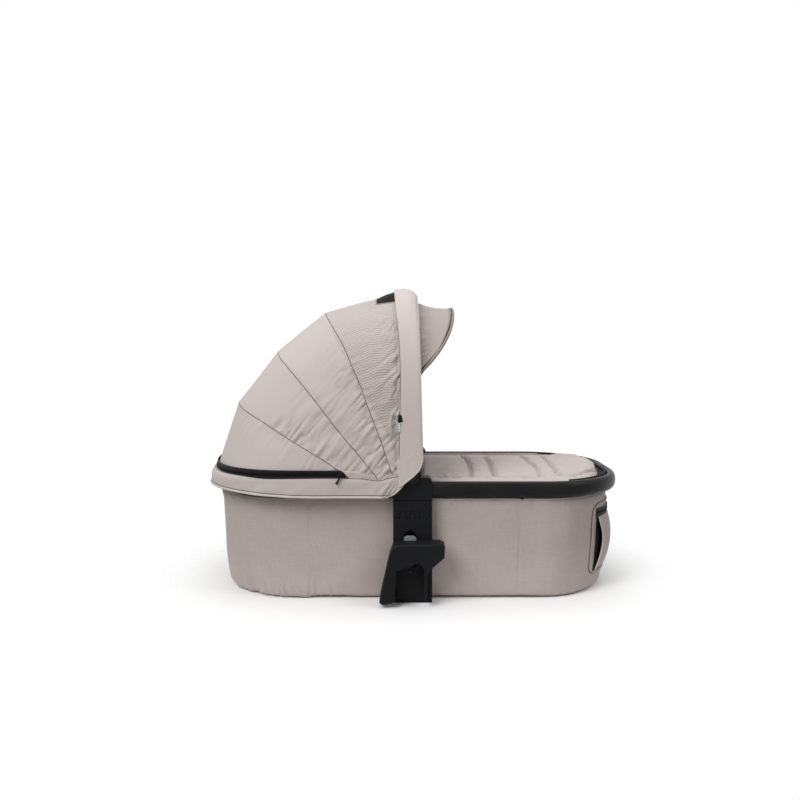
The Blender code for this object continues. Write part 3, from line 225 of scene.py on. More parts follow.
def stitchRow(name, path, ups, material, pitch=0.0034, length=0.0023, radius=0.00035):
    # Small raised stitches along a row of points on a surface
    path, ups = np.array(path, float), np.array(ups, float)
    run = stepsAlong(path)
    count = max(int(run[-1] / pitch), 2)
    places = (np.arange(count) + 0.5) * run[-1] / count
    centres = np.stack([np.interp(places, run, path[:, i]) for i in range(3)], axis=1)
    ahead = np.stack([np.interp(places + 0.0005, run, path[:, i]) for i in range(3)], axis=1)
    normals = np.stack([np.interp(places, run, ups[:, i]) for i in range(3)], axis=1)
    normals /= np.linalg.norm(normals, axis=1, keepdims=True)
    tangents = ahead - centres
    tangents /= np.maximum(np.linalg.norm(tangents, axis=1, keepdims=True), 1e-9)
    sides = np.cross(tangents, normals)
    verts, faces = [], []
    turns = [math.pi * i / 3 for i in range(6)]
    for centre, tangent, side, normal in zip(centres, tangents, sides, normals):
        base = len(verts)
        for end in (-1, 1):
            middle = centre + tangent * end * length * 0.32 + normal * radius * 0.5
            verts += [middle + side * radius * math.cos(t) + normal * radius * math.sin(t) for t in turns]
        verts += [centre - tangent * length / 2, centre + tangent * length / 2]
        for i in range(6):
            j = (i + 1) % 6
            faces.append([base + i, base + j, base + 6 + j, base + 6 + i])
            faces.append([base + 12, base + j, base + i])
            faces.append([base + 13, base + 6 + i, base + 6 + j])
    uvs = [(0.0, 0.0)] * sum(len(f) for f in faces)
    return newPiece(name, verts, faces, uvs, [material])


def joined(name, pieces):
    bpy.ops.object.select_all(action="DESELECT")
    for piece in pieces:
        piece.select_set(True)
    bpy.context.view_layer.objects.active = pieces[0]
    bpy.ops.object.join()
    pieces[0].name = name
    return pieces[0]


def settle(piece, body, slotName, *replaced):
    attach(piece, body)
    if replaced:
        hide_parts(*replaced)
    return piece


def sweep(name, path, ups, profile, material, closed=False, sharpAngle=50):
    # A closed section of (side, up) points drawn along a path, with a given up direction at each point
    path, ups = np.array(path, float), np.array(ups, float)
    if closed:
        tangents = np.roll(path, -1, axis=0) - np.roll(path, 1, axis=0)
    else:
        tangents = np.gradient(path, axis=0)
    tangents /= np.maximum(np.linalg.norm(tangents, axis=1, keepdims=True), 1e-9)
    sides = np.cross(tangents, ups)
    sides /= np.maximum(np.linalg.norm(sides, axis=1, keepdims=True), 1e-9)
    ups = np.cross(sides, tangents)
    section = np.array(profile, float)
    rings = (path[:, None] + sides[:, None] * section[None, :, :1] + ups[:, None] * section[None, :, 1:])
    if closed:
        rings = np.concatenate([rings, rings[:1]])
    uvs = metreMap(rings, wrap=True)
    if not closed:
        return gridPiece(name, rings, uvs, [material], wrap=True, caps=True)
    count, sidesCount = len(path), len(section)
    faces, loops = [], []
    for r in range(count):
        for c in range(sidesCount):
            d, s = (c + 1) % sidesCount, (r + 1) % count
            faces.append([r * sidesCount + c, r * sidesCount + d, s * sidesCount + d, s * sidesCount + c])
            loops.extend([uvs[r, c], uvs[r, c + 1], uvs[r + 1, c + 1], uvs[r + 1, c]])
    return newPiece(name, rings[:-1].reshape(-1, 3), faces, loops, [material], None, sharpAngle)


def roundSection(radius, flat=1.0, sides=10):
    turns = [2 * math.pi * i / sides for i in range(sides)]
    return [(radius * math.cos(t), radius * flat * math.sin(t)) for t in turns]


def along(points, count):  # even steps along a row of points
    points = np.array(points, float)
    run = stepsAlong(points)
    places = np.linspace(0, run[-1], count)
    return np.stack([np.interp(places, run, points[:, i]) for i in range(3)], axis=1)


def straighten(piece):  # faces point outwards on a closed piece
    bpy.context.view_layer.objects.active = piece
    bpy.ops.object.select_all(action="DESELECT")
    piece.select_set(True)
    bpy.ops.object.mode_set(mode="EDIT")
    bpy.ops.mesh.select_all(action="SELECT")
    bpy.ops.mesh.normals_make_consistent(inside=False)
    bpy.ops.object.mode_set(mode="OBJECT")
    return piece


def applyModifier(piece, modifier):
    bpy.context.view_layer.objects.active = piece
    bpy.ops.object.modifier_apply(modifier=modifier.name)


def softBlock(name, size, radius, material, taper=1.0):
    # A block with rounded edges, its top drawn in by a share
    x, y, z = (v / 2 for v in size)
    corners = [(sx * x * (taper if sz > 0 else 1), sy * y, sz * z)
               for sz in (-1, 1) for sx, sy in ((-1, -1), (1, -1), (1, 1), (-1, 1))]
    faces = [(3, 2, 1, 0), (4, 5, 6, 7)] + [(i, (i + 1) % 4, 4 + (i + 1) % 4, 4 + i) for i in range(4)]
    piece = newPiece(name, corners, faces, [(0.0, 0.0)] * 24, [material])
    edge = piece.modifiers.new("softEdges", "BEVEL")
    edge.width = min(radius, 0.45 * min(size))
    edge.segments = 3
    applyModifier(piece, edge)
    piece.data.shade_smooth()
    return piece


def roundPlate(name, size, corner, edge, material):
    # A plate in the upright plane, rounded in outline and at its rims; size is (x, y, z)
    rings = []
    for side, pull in ((-1, edge), (-1, edge * 0.3), (-1, 0), (1, 0), (1, edge * 0.3), (1, edge)):
        deep = size[1] / 2 - (edge if pull == 0 else edge * 0.3 if pull < edge else 0)
        plan = planOutline(size[0] / 2 - pull, size[2] / 2 - pull, corner - pull, 40)
        rings.append(np.column_stack([plan[:, 0], np.full(40, side * deep), plan[:, 1]]))
    rings = np.array(rings)
    return straighten(gridPiece(name, rings, metreMap(rings, True), [material], wrap=True, caps=True))


def applyPlace(*pieces):
    for piece in pieces:
        bpy.context.view_layer.update()
        piece.data.transform(piece.matrix_world)
        piece.matrix_world.identity()
        piece.location, piece.rotation_euler, piece.scale = (0, 0, 0), (0, 0, 0), (1, 1, 1)


def ringPath(centre, radius, axis="y", count=16):
    turns = [2 * math.pi * i / count for i in range(count)]
    if axis == "y":
        return [(centre.x + radius * math.cos(t), centre.y, centre.z + radius * math.sin(t)) for t in turns]
    return [(centre.x, centre.y + radius * math.cos(t), centre.z + radius * math.sin(t)) for t in turns]


# Shader groups shared by the materials

def newGroup(name, inputs, outputs):
    group = bpy.data.node_groups.new(name, "ShaderNodeTree")
    for label, kind, value in inputs:
        socket = group.interface.new_socket(name=label, in_out="INPUT", socket_type=kind)
        if value is not None:
            socket.default_value = value
    for label, kind in outputs:
        group.interface.new_socket(name=label, in_out="OUTPUT", socket_type=kind)
    return group, group.nodes.new("NodeGroupInput"), group.nodes.new("NodeGroupOutput")


def feed(tree, socket, value):  # links another node's output, or sets a plain value
    if isinstance(value, bpy.types.NodeSocket):
        tree.links.new(value, socket)
    else:
        socket.default_value = value


def addNode(tree, kind, links=None, **settings):
    node = tree.nodes.new(kind)
    for key, value in settings.items():
        setattr(node, key, value)
    for socket, value in (links or {}).items():
        feed(tree, node.inputs[socket], value)
    return node


def mathNode(tree, operation, first, second=0.0, third=0.0):
    node = addNode(tree, "ShaderNodeMath", {0: first, 1: second, 2: third}, operation=operation)
    return node.outputs[0]


def mixColour(tree, factor, first, second, blend="MIX"):
    node = addNode(tree, "ShaderNodeMix", data_type="RGBA", blend_type=blend)
    for number, value in ((0, factor), (6, first), (7, second)):
        feed(tree, node.inputs[number], value)
    return node.outputs[2]


def makeWeaveGroup():  # plain weave, drawn over a map in metres
    group, start, end = newGroup("plainWeave", [
        ("Map", "NodeSocketVector", None), ("Yarn", "NodeSocketFloat", 0.0006),
        ("Slub", "NodeSocketFloat", 0.5)],
        [("Height", "NodeSocketFloat"), ("Tone", "NodeSocketFloat")])
    parts = addNode(group, "ShaderNodeSeparateXYZ", {0: start.outputs["Map"]})
    waves = []
    for axis in (0, 1):
        turns = mathNode(group, "DIVIDE", parts.outputs[axis], start.outputs["Yarn"])
        waves.append(mathNode(group, "SINE", mathNode(group, "MULTIPLY", turns, math.pi)))
    crossing = mathNode(group, "MULTIPLY", waves[0], waves[1])
    slubMap = addNode(group, "ShaderNodeMapping", {"Vector": start.outputs["Map"], "Scale": (420, 26, 1)})
    slubs = addNode(group, "ShaderNodeTexNoise", {"Vector": slubMap.outputs[0], "Scale": 1.0, "Detail": 3.0})
    crossMap = addNode(group, "ShaderNodeMapping", {"Vector": start.outputs["Map"], "Scale": (26, 380, 1)})
    weft = addNode(group, "ShaderNodeTexNoise", {"Vector": crossMap.outputs[0], "Scale": 1.0, "Detail": 3.0})
    both = mathNode(group, "ADD", slubs.outputs[0], weft.outputs[0])
    tone = mathNode(group, "MULTIPLY_ADD", mathNode(group, "SUBTRACT", both, 1.0),
                    start.outputs["Slub"], 0.5)
    height = mathNode(group, "ADD", mathNode(group, "MULTIPLY", crossing, 0.5), tone)
    group.links.new(height, end.inputs["Height"])
    group.links.new(tone, end.inputs["Tone"])
    return group


def makeRibGroup():  # fine ribs that run across the map
    group, start, end = newGroup("fineRibs", [
        ("Map", "NodeSocketVector", None), ("Pitch", "NodeSocketFloat", 0.004)],
        [("Height", "NodeSocketFloat")])
    wander = addNode(group, "ShaderNodeTexNoise", {"Vector": start.outputs["Map"], "Scale": 22.0})
    parts = addNode(group, "ShaderNodeSeparateXYZ", {0: start.outputs["Map"]})
    drift = mathNode(group, "MULTIPLY_ADD", wander.outputs[0], 0.006, parts.outputs[0])
    turns = mathNode(group, "DIVIDE", drift, start.outputs["Pitch"])
    wave = mathNode(group, "SINE", mathNode(group, "MULTIPLY", turns, 2 * math.pi))
    group.links.new(wave, end.inputs["Height"])
    return group


def makeGrainGroup():  # spark-eroded moulding grain with rubbed edges
    group, start, end = newGroup("mouldGrain", [
        ("Place", "NodeSocketVector", None), ("Size", "NodeSocketFloat", 900.0),
        ("Colour", "NodeSocketColor", (0.02, 0.02, 0.02, 1)),
        ("Roughness", "NodeSocketFloat", 0.45)],
        [("Colour", "NodeSocketColor"), ("Roughness", "NodeSocketFloat"), ("Height", "NodeSocketFloat")])
    grain = addNode(group, "ShaderNodeTexNoise",
                    {"Vector": start.outputs["Place"], "Scale": start.outputs["Size"], "Detail": 2.0})
    smears = addNode(group, "ShaderNodeTexNoise",
                     {"Vector": start.outputs["Place"], "Scale": 14.0, "Detail": 5.0, "Roughness": 0.65})
    smearShare = addNode(group, "ShaderNodeMapRange",
                         {0: smears.outputs[0], 1: 0.35, 2: 0.7, 3: 0.0, 4: 1.0}).outputs[0]
    lighter = mixColour(group, mathNode(group, "MULTIPLY", smearShare, 0.35), start.outputs["Colour"],
                        (0.016, 0.0165, 0.018, 1))
    rough = mathNode(group, "MULTIPLY_ADD", smearShare, 0.12, start.outputs["Roughness"])
    group.links.new(lighter, end.inputs["Colour"])
    group.links.new(rough, end.inputs["Roughness"])
    group.links.new(grain.outputs[0], end.inputs["Height"])
    return group


def makeWearGroup():  # a mask that is strongest on outward edges
    group, start, end = newGroup("edgeWear", [
        ("Place", "NodeSocketVector", None), ("Amount", "NodeSocketFloat", 0.5)],
        [("Mask", "NodeSocketFloat")])
    shape = addNode(group, "ShaderNodeNewGeometry")
    edge = addNode(group, "ShaderNodeMapRange",
                   {0: shape.outputs["Pointiness"], 1: 0.52, 2: 0.6, 3: 0.0, 4: 1.0}).outputs[0]
    broken = addNode(group, "ShaderNodeTexNoise",
                     {"Vector": start.outputs["Place"], "Scale": 90.0, "Detail": 4.0})
    mask = mathNode(group, "MULTIPLY", mathNode(group, "MULTIPLY", edge, broken.outputs[0]),
                    start.outputs["Amount"])
    group.links.new(mask, end.inputs["Mask"])
    return group


def makeDriftGroup():  # slow colour drift over a surface
    group, start, end = newGroup("toneDrift", [
        ("Place", "NodeSocketVector", None), ("Colour", "NodeSocketColor", (0.5, 0.5, 0.5, 1)),
        ("Tone", "NodeSocketFloat", 0.5), ("Depth", "NodeSocketFloat", 0.08)],
        [("Colour", "NodeSocketColor")])
    slow = addNode(group, "ShaderNodeTexNoise",
                   {"Vector": start.outputs["Place"], "Scale": 7.0, "Detail": 4.0, "Roughness": 0.6})
    both = mathNode(group, "ADD", slow.outputs[0], start.outputs["Tone"])
    value = mathNode(group, "MULTIPLY_ADD", mathNode(group, "SUBTRACT", both, 1.0),
                     start.outputs["Depth"], 1.0)
    tinted = addNode(group, "ShaderNodeVectorMath", {0: start.outputs["Colour"]}, operation="SCALE")
    group.links.new(value, tinted.inputs["Scale"])
    group.links.new(tinted.outputs[0], end.inputs["Colour"])
    return group


weaveGroup = makeWeaveGroup()
ribGroup = makeRibGroup()
grainGroup = makeGrainGroup()
wearGroup = makeWearGroup()
driftGroup = makeDriftGroup()


def placeGroup(tree, group, links):
    node = tree.nodes.new("ShaderNodeGroup")
    node.node_tree = group
    for socket, value in links.items():
        feed(tree, node.inputs[socket], value)
    return node


def newMaterial(name, roughness, sheen=0.0, metallic=0.0, specular=0.3):
    material = bpy.data.materials.new(name)
    material.use_nodes = True
    tree = material.node_tree
    shader = tree.nodes["Principled BSDF"]
    shader.inputs["Roughness"].default_value = roughness
    shader.inputs["Metallic"].default_value = metallic
    shader.inputs["Sheen Weight"].default_value = sheen
    shader.inputs["Sheen Roughness"].default_value = 0.5
    shader.inputs["Specular IOR Level"].default_value = specular
    spots = addNode(tree, "ShaderNodeTexCoord")
    return material, tree, shader, spots


def bumpInto(tree, shader, height, strength, distance):
    bump = addNode(tree, "ShaderNodeBump", {"Height": height, "Strength": strength, "Distance": distance})
    tree.links.new(bump.outputs[0], shader.inputs["Normal"])


def clothMaterial(name, colour, yarn=0.0006, slub=0.5, depth=0.10, bump=0.25, ribs=0.0, ribPitch=0.004,
                  roughness=0.88, sheen=0.15, specular=0.3):
    material, tree, shader, spots = newMaterial(name, roughness, sheen, specular=specular)
    weave = placeGroup(tree, weaveGroup, {"Map": spots.outputs["UV"], "Yarn": yarn, "Slub": slub})
    drift = placeGroup(tree, driftGroup, {"Place": spots.outputs["Object"], "Colour": (*colour, 1),
                                          "Tone": weave.outputs["Tone"], "Depth": depth})
    height, tint = weave.outputs["Height"], drift.outputs["Colour"]
    if ribs:
        rib = placeGroup(tree, ribGroup, {"Map": spots.outputs["UV"], "Pitch": ribPitch})
        height = mathNode(tree, "MULTIPLY_ADD", rib.outputs["Height"], ribs, height)
        # the colour darkens with the rib height: painted shade along the ribs, on top of their bump
        shade = mathNode(tree, "MULTIPLY_ADD", rib.outputs["Height"], 0.5, 0.5)
        tint = mixColour(tree, mathNode(tree, "MULTIPLY", shade, 0.16), tint,
                         tuple(c * 0.72 for c in colour) + (1,))
    tree.links.new(tint, shader.inputs["Base Color"])
    bumpInto(tree, shader, height, bump, 0.0004)
    return material


def mouldMaterial(name, colour, roughness, grain=0.12, wear=0.4, size=900.0, metallic=0.0, specular=0.14):
    material, tree, shader, spots = newMaterial(name, roughness, 0.0, metallic, specular)
    finish = placeGroup(tree, grainGroup, {"Place": spots.outputs["Object"], "Size": size,
                                           "Colour": (*colour, 1), "Roughness": roughness})
    rubbed = placeGroup(tree, wearGroup, {"Place": spots.outputs["Object"], "Amount": wear})
    tint = mixColour(tree, rubbed.outputs["Mask"], finish.outputs["Colour"],
                     tuple(min(1.0, c * 2 + 0.02) for c in colour) + (1,))
    tree.links.new(tint, shader.inputs["Base Color"])
    tree.links.new(finish.outputs["Roughness"], shader.inputs["Roughness"])
    bumpInto(tree, shader, finish.outputs["Height"], grain, 0.0003)
    return material


clothLooks = {
    "hoodCloth": dict(colour=(0.51, 0.450, 0.426)),
    "ribbedCloth": dict(colour=(0.475, 0.419, 0.396), ribs=2.4, ribPitch=0.0050, bump=0.42),
    "bandCloth": dict(colour=(0.53, 0.465, 0.44), slub=0.3, depth=0.06, bump=0.15),
    "visorCloth": dict(colour=(0.37, 0.325, 0.306)),
    "basinCloth": dict(colour=(0.425, 0.366, 0.342), slub=0.9, depth=0.22),
    "apronCloth": dict(colour=(0.50, 0.44, 0.415)),
    "liningCloth": dict(colour=(0.60, 0.54, 0.48), yarn=0.0008, slub=0.3, depth=0.06),
    "pipingCloth": dict(colour=(0.56, 0.498, 0.45), yarn=0.0007, slub=0.2, depth=0.06),
    "visorPiping": dict(colour=(0.30, 0.235, 0.20), yarn=0.0007, slub=0.2, depth=0.06),
    # dark seam colour, also the painted shadow of the band's zip tape
    "seamAndShadowCloth": dict(colour=(0.14, 0.118, 0.108), yarn=0.0007, slub=0.2, depth=0.08),
    # near-black lining cloth, also painted shade where openings, gaps and undersides are dark
    "blackLiningAndShade": dict(colour=(0.006, 0.0057, 0.006), roughness=0.5, sheen=0.0, bump=0.3, specular=0.04),
    "padCloth": dict(colour=(0.66, 0.63, 0.59), yarn=0.0009, slub=0.3, depth=0.05),
    "zipTape": dict(colour=(0.010, 0.010, 0.011), yarn=0.0009, roughness=0.6, sheen=0.0, specular=0.14,
                    ribs=2.5, ribPitch=0.0021, bump=0.8),
}

mouldLooks = {
    "blackPlastic": dict(colour=(0.0062, 0.0064, 0.0074), roughness=0.42, specular=0.08),
    "greyPlastic": dict(colour=(0.195, 0.205, 0.213), roughness=0.4, specular=0.2),
    "satinTube": dict(colour=(0.0042, 0.0044, 0.0054), roughness=0.30, grain=0.05, size=1600.0,
                      specular=0.14),
    "steel": dict(colour=(0.42, 0.42, 0.43), roughness=0.32, grain=0.08, metallic=1.0, specular=0.5),
    "darkSteel": dict(colour=(0.014, 0.014, 0.015), roughness=0.42, grain=0.08, metallic=0.5, specular=0.1),
    "boardPlastic": dict(colour=(0.04, 0.04, 0.044), roughness=0.55),
    "gripSkin": dict(colour=(0.016, 0.015, 0.015), roughness=0.55, grain=0.5, size=420.0),
}

finishes = {name: clothMaterial(name, **look) for name, look in clothLooks.items()}
finishes.update({name: mouldMaterial(name, **look) for name, look in mouldLooks.items()})
print("finishes made:", len(finishes))


# Hood cloth, one taut sheet over four bows, parted halfway between them so that it folds

band = {
    "halfWidth": 0.2286,
    "reach": 0.3604,
    "crownRise": 0.0030,
    "crownSpread": 0.115,
    "half": 0.0236,
    # how far it reaches behind the bow's plane, as (height from the pivot, reach back)
    "rear": [(0.0, 0.0228), (0.04, 0.0200), (0.07, 0.0186), (0.13, 0.0160), (0.20, 0.0138), (0.27, 0.0160),
             (0.33, 0.0215), (0.36, 0.0236)],
    "frontRound": 0.0170,
    "thickness": 0.0017,
    # the lower end, as (lift off the bow's plane, height from the pivot)
    "foot": [(-0.0236, -0.0175), (-0.0116, -0.0101), (0.0060, 0.0030), (0.0150, 0.0115), (0.0195, 0.0195),
             (0.0222, 0.0300), (0.0236, 0.0390)],
    "columns": 420,
    "rows": 25,
    # ends of the dark zip tape, which is also painted shadow along the band's rear edge
    "zipShadowTop": 0.461,
    "zipShadowLow": 0.270,
    "sliderHeight": 0.3475,
    "sliderSize": (0.0112, 0.0046, 0.0135),
    "pullSize": (0.0042, 0.0012, 0.0165),
}

hood = {
    "pivot": Vector(joints["hood_fold"]["pos_m"]),
    "seams": [(88.6, 0.3580), (60.7, 0.3592), (40.3, 0.3606), (19.8, 0.3792)],
    "halfWidth": 0.2262,
    "bowStraight": 0.030,
    "bowPower": 2.8,
    "baseReach": 0.4006,
    "baseHalfWidth": 0.2243,
    "baseDrop": 0.0072,
    "baseStraight": 0.200,
    "basePower": 2.5,
    "legStart": 0.022,
    "columns": 520,
    "rows": (60, 54, 44, 40),
    "thickness": 0.0011,
    "bandTuck": 0.0100,
    "notchDepth": 0.062,
    "notchHalfWidth": 0.128,
    "notchSquareShare": 0.80,
    # the black sheet inside the opening behind the band, which is also painted shade
    "liningShadeStart": 0.0125,
    "liningShadeRows": 15,
    "foldAngles": (88.6, 61.0, 37.5, 19.5),  # the bows' own angles, which the folding keeps in step
    "foldShare": 0.3725,  # how much of its angle each bow keeps when the hood is folded
    "seamWidth": 0.0008,
    "seamHeight": 0.0006,
}


def bandRear(height):  # how far the band reaches behind its bow
    return smoothCurve(height, *zip(*band["rear"]))


def hoodPoint(angle, reach, y, lift=0.0):
    turn = np.radians(angle)
    x = hood["pivot"].x - reach * np.cos(turn) + lift * np.sin(turn)
    z = hood["pivot"].z + reach * np.sin(turn) + lift * np.cos(turn)
    return np.stack(np.broadcast_arrays(x, y, z), axis=-1)


def archRow(halfWidth, reach, straight, power, start, count):  # (y, reach), even steps leg to leg
    turn = np.linspace(0, math.pi, 900)
    across = -np.sign(np.cos(turn)) * np.abs(np.cos(turn)) ** (2 / power)
    up = np.abs(np.sin(turn)) ** (2 / power)
    y = np.concatenate([[-halfWidth], halfWidth * across, [halfWidth]])
    s = np.concatenate([[start], straight + (reach - straight) * up, [start]])
    run = np.concatenate([[0], np.cumsum(np.hypot(np.diff(y), np.diff(s)))])
    places = np.linspace(0, run[-1], count)
    return np.interp(places, run, y), np.interp(places, run, s)


def hoodSeamRow(index, inset=0.0):
    if index < len(hood["seams"]):
        angle, reach = hood["seams"][index]
        y, s = archRow(hood["halfWidth"] - inset, reach - inset, hood["bowStraight"], hood["bowPower"],
                       hood["legStart"], hood["columns"])
        return hoodPoint(angle, s, y), s
    y, s = archRow(hood["baseHalfWidth"] - inset, hood["baseReach"] - inset, hood["baseStraight"],
                   hood["basePower"], hood["legStart"], hood["columns"])
    return hoodPoint(0, s, y, -hood["baseDrop"]), s


def hoodGrid():
    # All rows of the hood from the front bow to the zip, with the share of each within its panel
    rows, shares, panels = [], [], []
    front, reach = hoodSeamRow(0)
    notch = hood["notchDepth"] * (1 - smoothStep(np.abs(front[:, 1]) / hood["notchHalfWidth"],
                                                 hood["notchSquareShare"], 1.0))
    notch[reach < hood["seams"][0][1] / 2] = 0
    notch = np.maximum(notch, hood["bandTuck"])
    for panel in range(4):
        (rowA, reachA), (rowB, reachB) = hoodSeamRow(panel), hoodSeamRow(panel + 1)
        middle = (reachA / (reachA + reachB))[:, None]
        half = hood["rows"][panel] // 2
        width = np.linalg.norm(rowB - rowA, axis=1)[:, None]
        first = np.minimum(notch[:, None] / np.maximum(width, 1e-6), 0.8 * middle) if panel == 0 else 0
        for i in range(2 * half + (1 if panel == 3 else 0)):
            share = first + (middle - first) * i / half if i <= half else (
                middle + (1 - middle) * (i - half) / half)
            rows.append(rowA * (1 - share) + rowB * share)
            shares.append(share[:, 0] * np.ones(hood["columns"]))
            panels.append(panel)
    return np.array(rows), np.array(shares), np.array(panels)


def ridged(x, y, seed):  # noise with narrow crests, as in drawn-up cloth
    return 1 - 2 * np.abs(latticeNoise(x, y, seed))


# Where each seam runs, as (reach from the pivot, fan angle)
seamRuns = {
    1: [(0.0332, 4.0), (0.0385, 17.7), (0.0533, 34.8), (0.0725, 45.5), (0.0964, 51.9), (0.1232, 55.6),
        (0.1513, 58.1), (0.1766, 59.9), (0.2006, 61.0), (0.2273, 61.5), (0.2752, 62.2), (0.3181, 61.6),
        (0.3560, 60.7)],
    2: [(0.0580, -5.6), (0.0624, 0.3), (0.0750, 10.1), (0.0932, 19.0), (0.1129, 24.7), (0.1326, 28.2),
        (0.1537, 31.2), (0.1750, 33.5), (0.2095, 36.5), (0.2443, 38.5), (0.2938, 39.9), (0.3560, 40.3)],
    3: [(0.1270, 4.4), (0.1409, 6.6), (0.1471, 7.9), (0.1629, 10.4), (0.1788, 12.1), (0.1949, 13.6),
        (0.2409, 16.5), (0.2863, 18.6), (0.3600, 19.8)],
}


def hoodWrinkles(points, shares, panels):
    # Slanted creases beside the drawn seams and gathers behind the band
    run = rowRuns(points)
    total = run[:, -1:]
    foot = np.minimum(run, total - run)  # distance up from the nearer leg's end
    side = np.where(run < total / 2, 0.0, 40.0)
    panel = panels[:, None] * np.ones((1, shares.shape[1]))
    x, z = points[:, :, 0], points[:, :, 2]
    back, up = hood["pivot"].x - x, z - hood["pivot"].z
    reach, angle = np.hypot(back, up), np.degrees(np.arctan2(up, back))
    bow = math.radians(hood["seams"][0][0])
    # Distance behind the band, then behind each drawn seam
    behind = {0: back * math.sin(bow) - up * math.cos(bow) - bandRear(up)}
    for seam, places in seamRuns.items():
        reaches, angles = zip(*places)
        behind[seam] = reach * np.radians(smoothCurve(reach, reaches, angles) - angle)

    def slanted(degrees, pitch, length, seed):
        turn = math.radians(degrees)
        return -ridged((z * math.cos(turn) - x * math.sin(turn)) / pitch + side,
                       (x * math.cos(turn) + z * math.sin(turn)) / length, seed)

    def belt(distance, wide):  # fades over a width on one side of a seam
        return (distance > 0) * np.exp(-(distance / wide) ** 2) * smoothStep(distance, 0.0, 0.0025)

    def stretch(low, high):  # fades in above one height of the leg and out below another
        return smoothStep(foot, low, low + 0.03) * (1 - smoothStep(foot, high - 0.10, high))

    height = 0.0046 * latticeNoise(run / 0.085, shares * 1.6 + panel * 7, 3) * shares * (1 - shares)
    height += 0.0009 * latticeNoise(foot / 0.035, back / 0.05 + side, 4) * smoothStep(foot, 0.02, 0.06)
    height += 0.0036 * stretch(-0.03, 0.27) * belt(behind[1], 0.034) * slanted(50, 0.0082, 0.045, 11)
    height += 0.0016 * stretch(0.02, 0.30) * belt(behind[1], 0.060) * slanted(48, 0.0150, 0.080, 12)
    height += 0.0016 * stretch(0.02, 0.26) * belt(-behind[2], 0.030) * slanted(50, 0.0120, 0.060, 13)
    height += 0.0018 * stretch(0.04, 0.34) * belt(behind[2], 0.040) * slanted(50, 0.0130, 0.070, 14)
    height += 0.0038 * stretch(0.04, 0.32) * belt(-behind[3], 0.038) * slanted(53, 0.0100, 0.050, 15)
    height += 0.0016 * stretch(0.06, 0.44) * belt(behind[3], 0.036) * slanted(62, 0.0100, 0.060, 16)
    height += 0.0010 * stretch(0.04, 0.30) * belt(-behind[1], 0.022) * slanted(20, 0.0080, 0.050, 10)
    low, upper = stretch(-0.03, 0.36), smoothStep(foot, 0.22, 0.34)
    free = behind[0]
    front = behind[1] < 0
    height += front * 0.0042 * low * np.exp(-(free / 0.016) ** 2) * slanted(58, 0.0078, 0.026, 17)
    height += front * 0.0020 * low * np.exp(-(free / 0.050) ** 2) * slanted(42, 0.0110, 0.050, 18)
    height += front * 0.0012 * upper * np.exp(-(free / 0.060) ** 2) * slanted(24, 0.0105, 0.060, 19)
    pouch = np.hypot((free - 0.010) / 0.008, (up - band["sliderHeight"] + hood["pivot"].z + 0.010) / 0.020)
    height += front * 0.0040 * np.exp(-(pouch - 1) ** 2 / 0.10) - front * 0.0022 * np.exp(-pouch ** 2 * 2)
    for distance in (behind[1], behind[2], behind[3]):
        height -= 0.0007 * np.exp(-(distance / 0.0035) ** 2)
    height = np.maximum(height, -0.0004 - 0.01 * (1 - smoothStep(foot, 0.24, 0.30)))  # taut over the bows
    under = 1 - smoothStep(free, -0.002, 0.004)
    return height * (1 - under) - 0.0008 * under


def onColumn(points, angles, column, wanted):  # the place on one column at a fan angle
    rising = -angles[:, column]
    row = float(np.interp(-wanted, rising, np.arange(len(rising))))
    low = min(int(row), len(rising) - 2)
    part = row - low
    return points[low, column] * (1 - part) + points[low + 1, column] * part, row


def hoodSeamStrips(points, normals, edges):
    # The drawn seam lines, each part with the number of the cloth piece it lies on
    pivot = hood["pivot"]
    angles = np.degrees(np.arctan2(points[:, :, 2] - pivot.z, pivot.x - points[:, :, 0]))
    wide, high = hood["seamWidth"], hood["seamHeight"]
    profile = [(-wide, -high), (-wide, high / 3), (0.0, high), (wide, high / 3), (wide, -high)]
    strips = []
    for seam, run in seamRuns.items():
        reaches, wanted = zip(*run)
        _, legs = hoodSeamRow(seam)
        track = []
        for column in range(hood["columns"]):
            if legs[column] >= reaches[0]:
                angle = float(smoothCurve(legs[column], reaches, wanted))
                place, row = onColumn(points, angles, column, angle)
                owner = next(i for i in range(4) if row <= edges[i + 1] + 1e-6)
                track.append((place, normals[int(round(row)), column], owner))
        first = 0
        for i in range(1, len(track) + 1):
            if i == len(track) or track[i][2] != track[first][2]:
                part = track[first:min(i + 1, len(track))]
                if len(part) > 3:
                    path, ups, _ = zip(*part)
                    strips.append((track[first][2], sweep("hoodSeam", path, ups, profile,
                                                          finishes["seamAndShadowCloth"])))
                first = i
    return strips


def foldsWithHood(piece, body):
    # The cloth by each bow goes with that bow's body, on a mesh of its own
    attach(piece, body)
    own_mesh(piece)


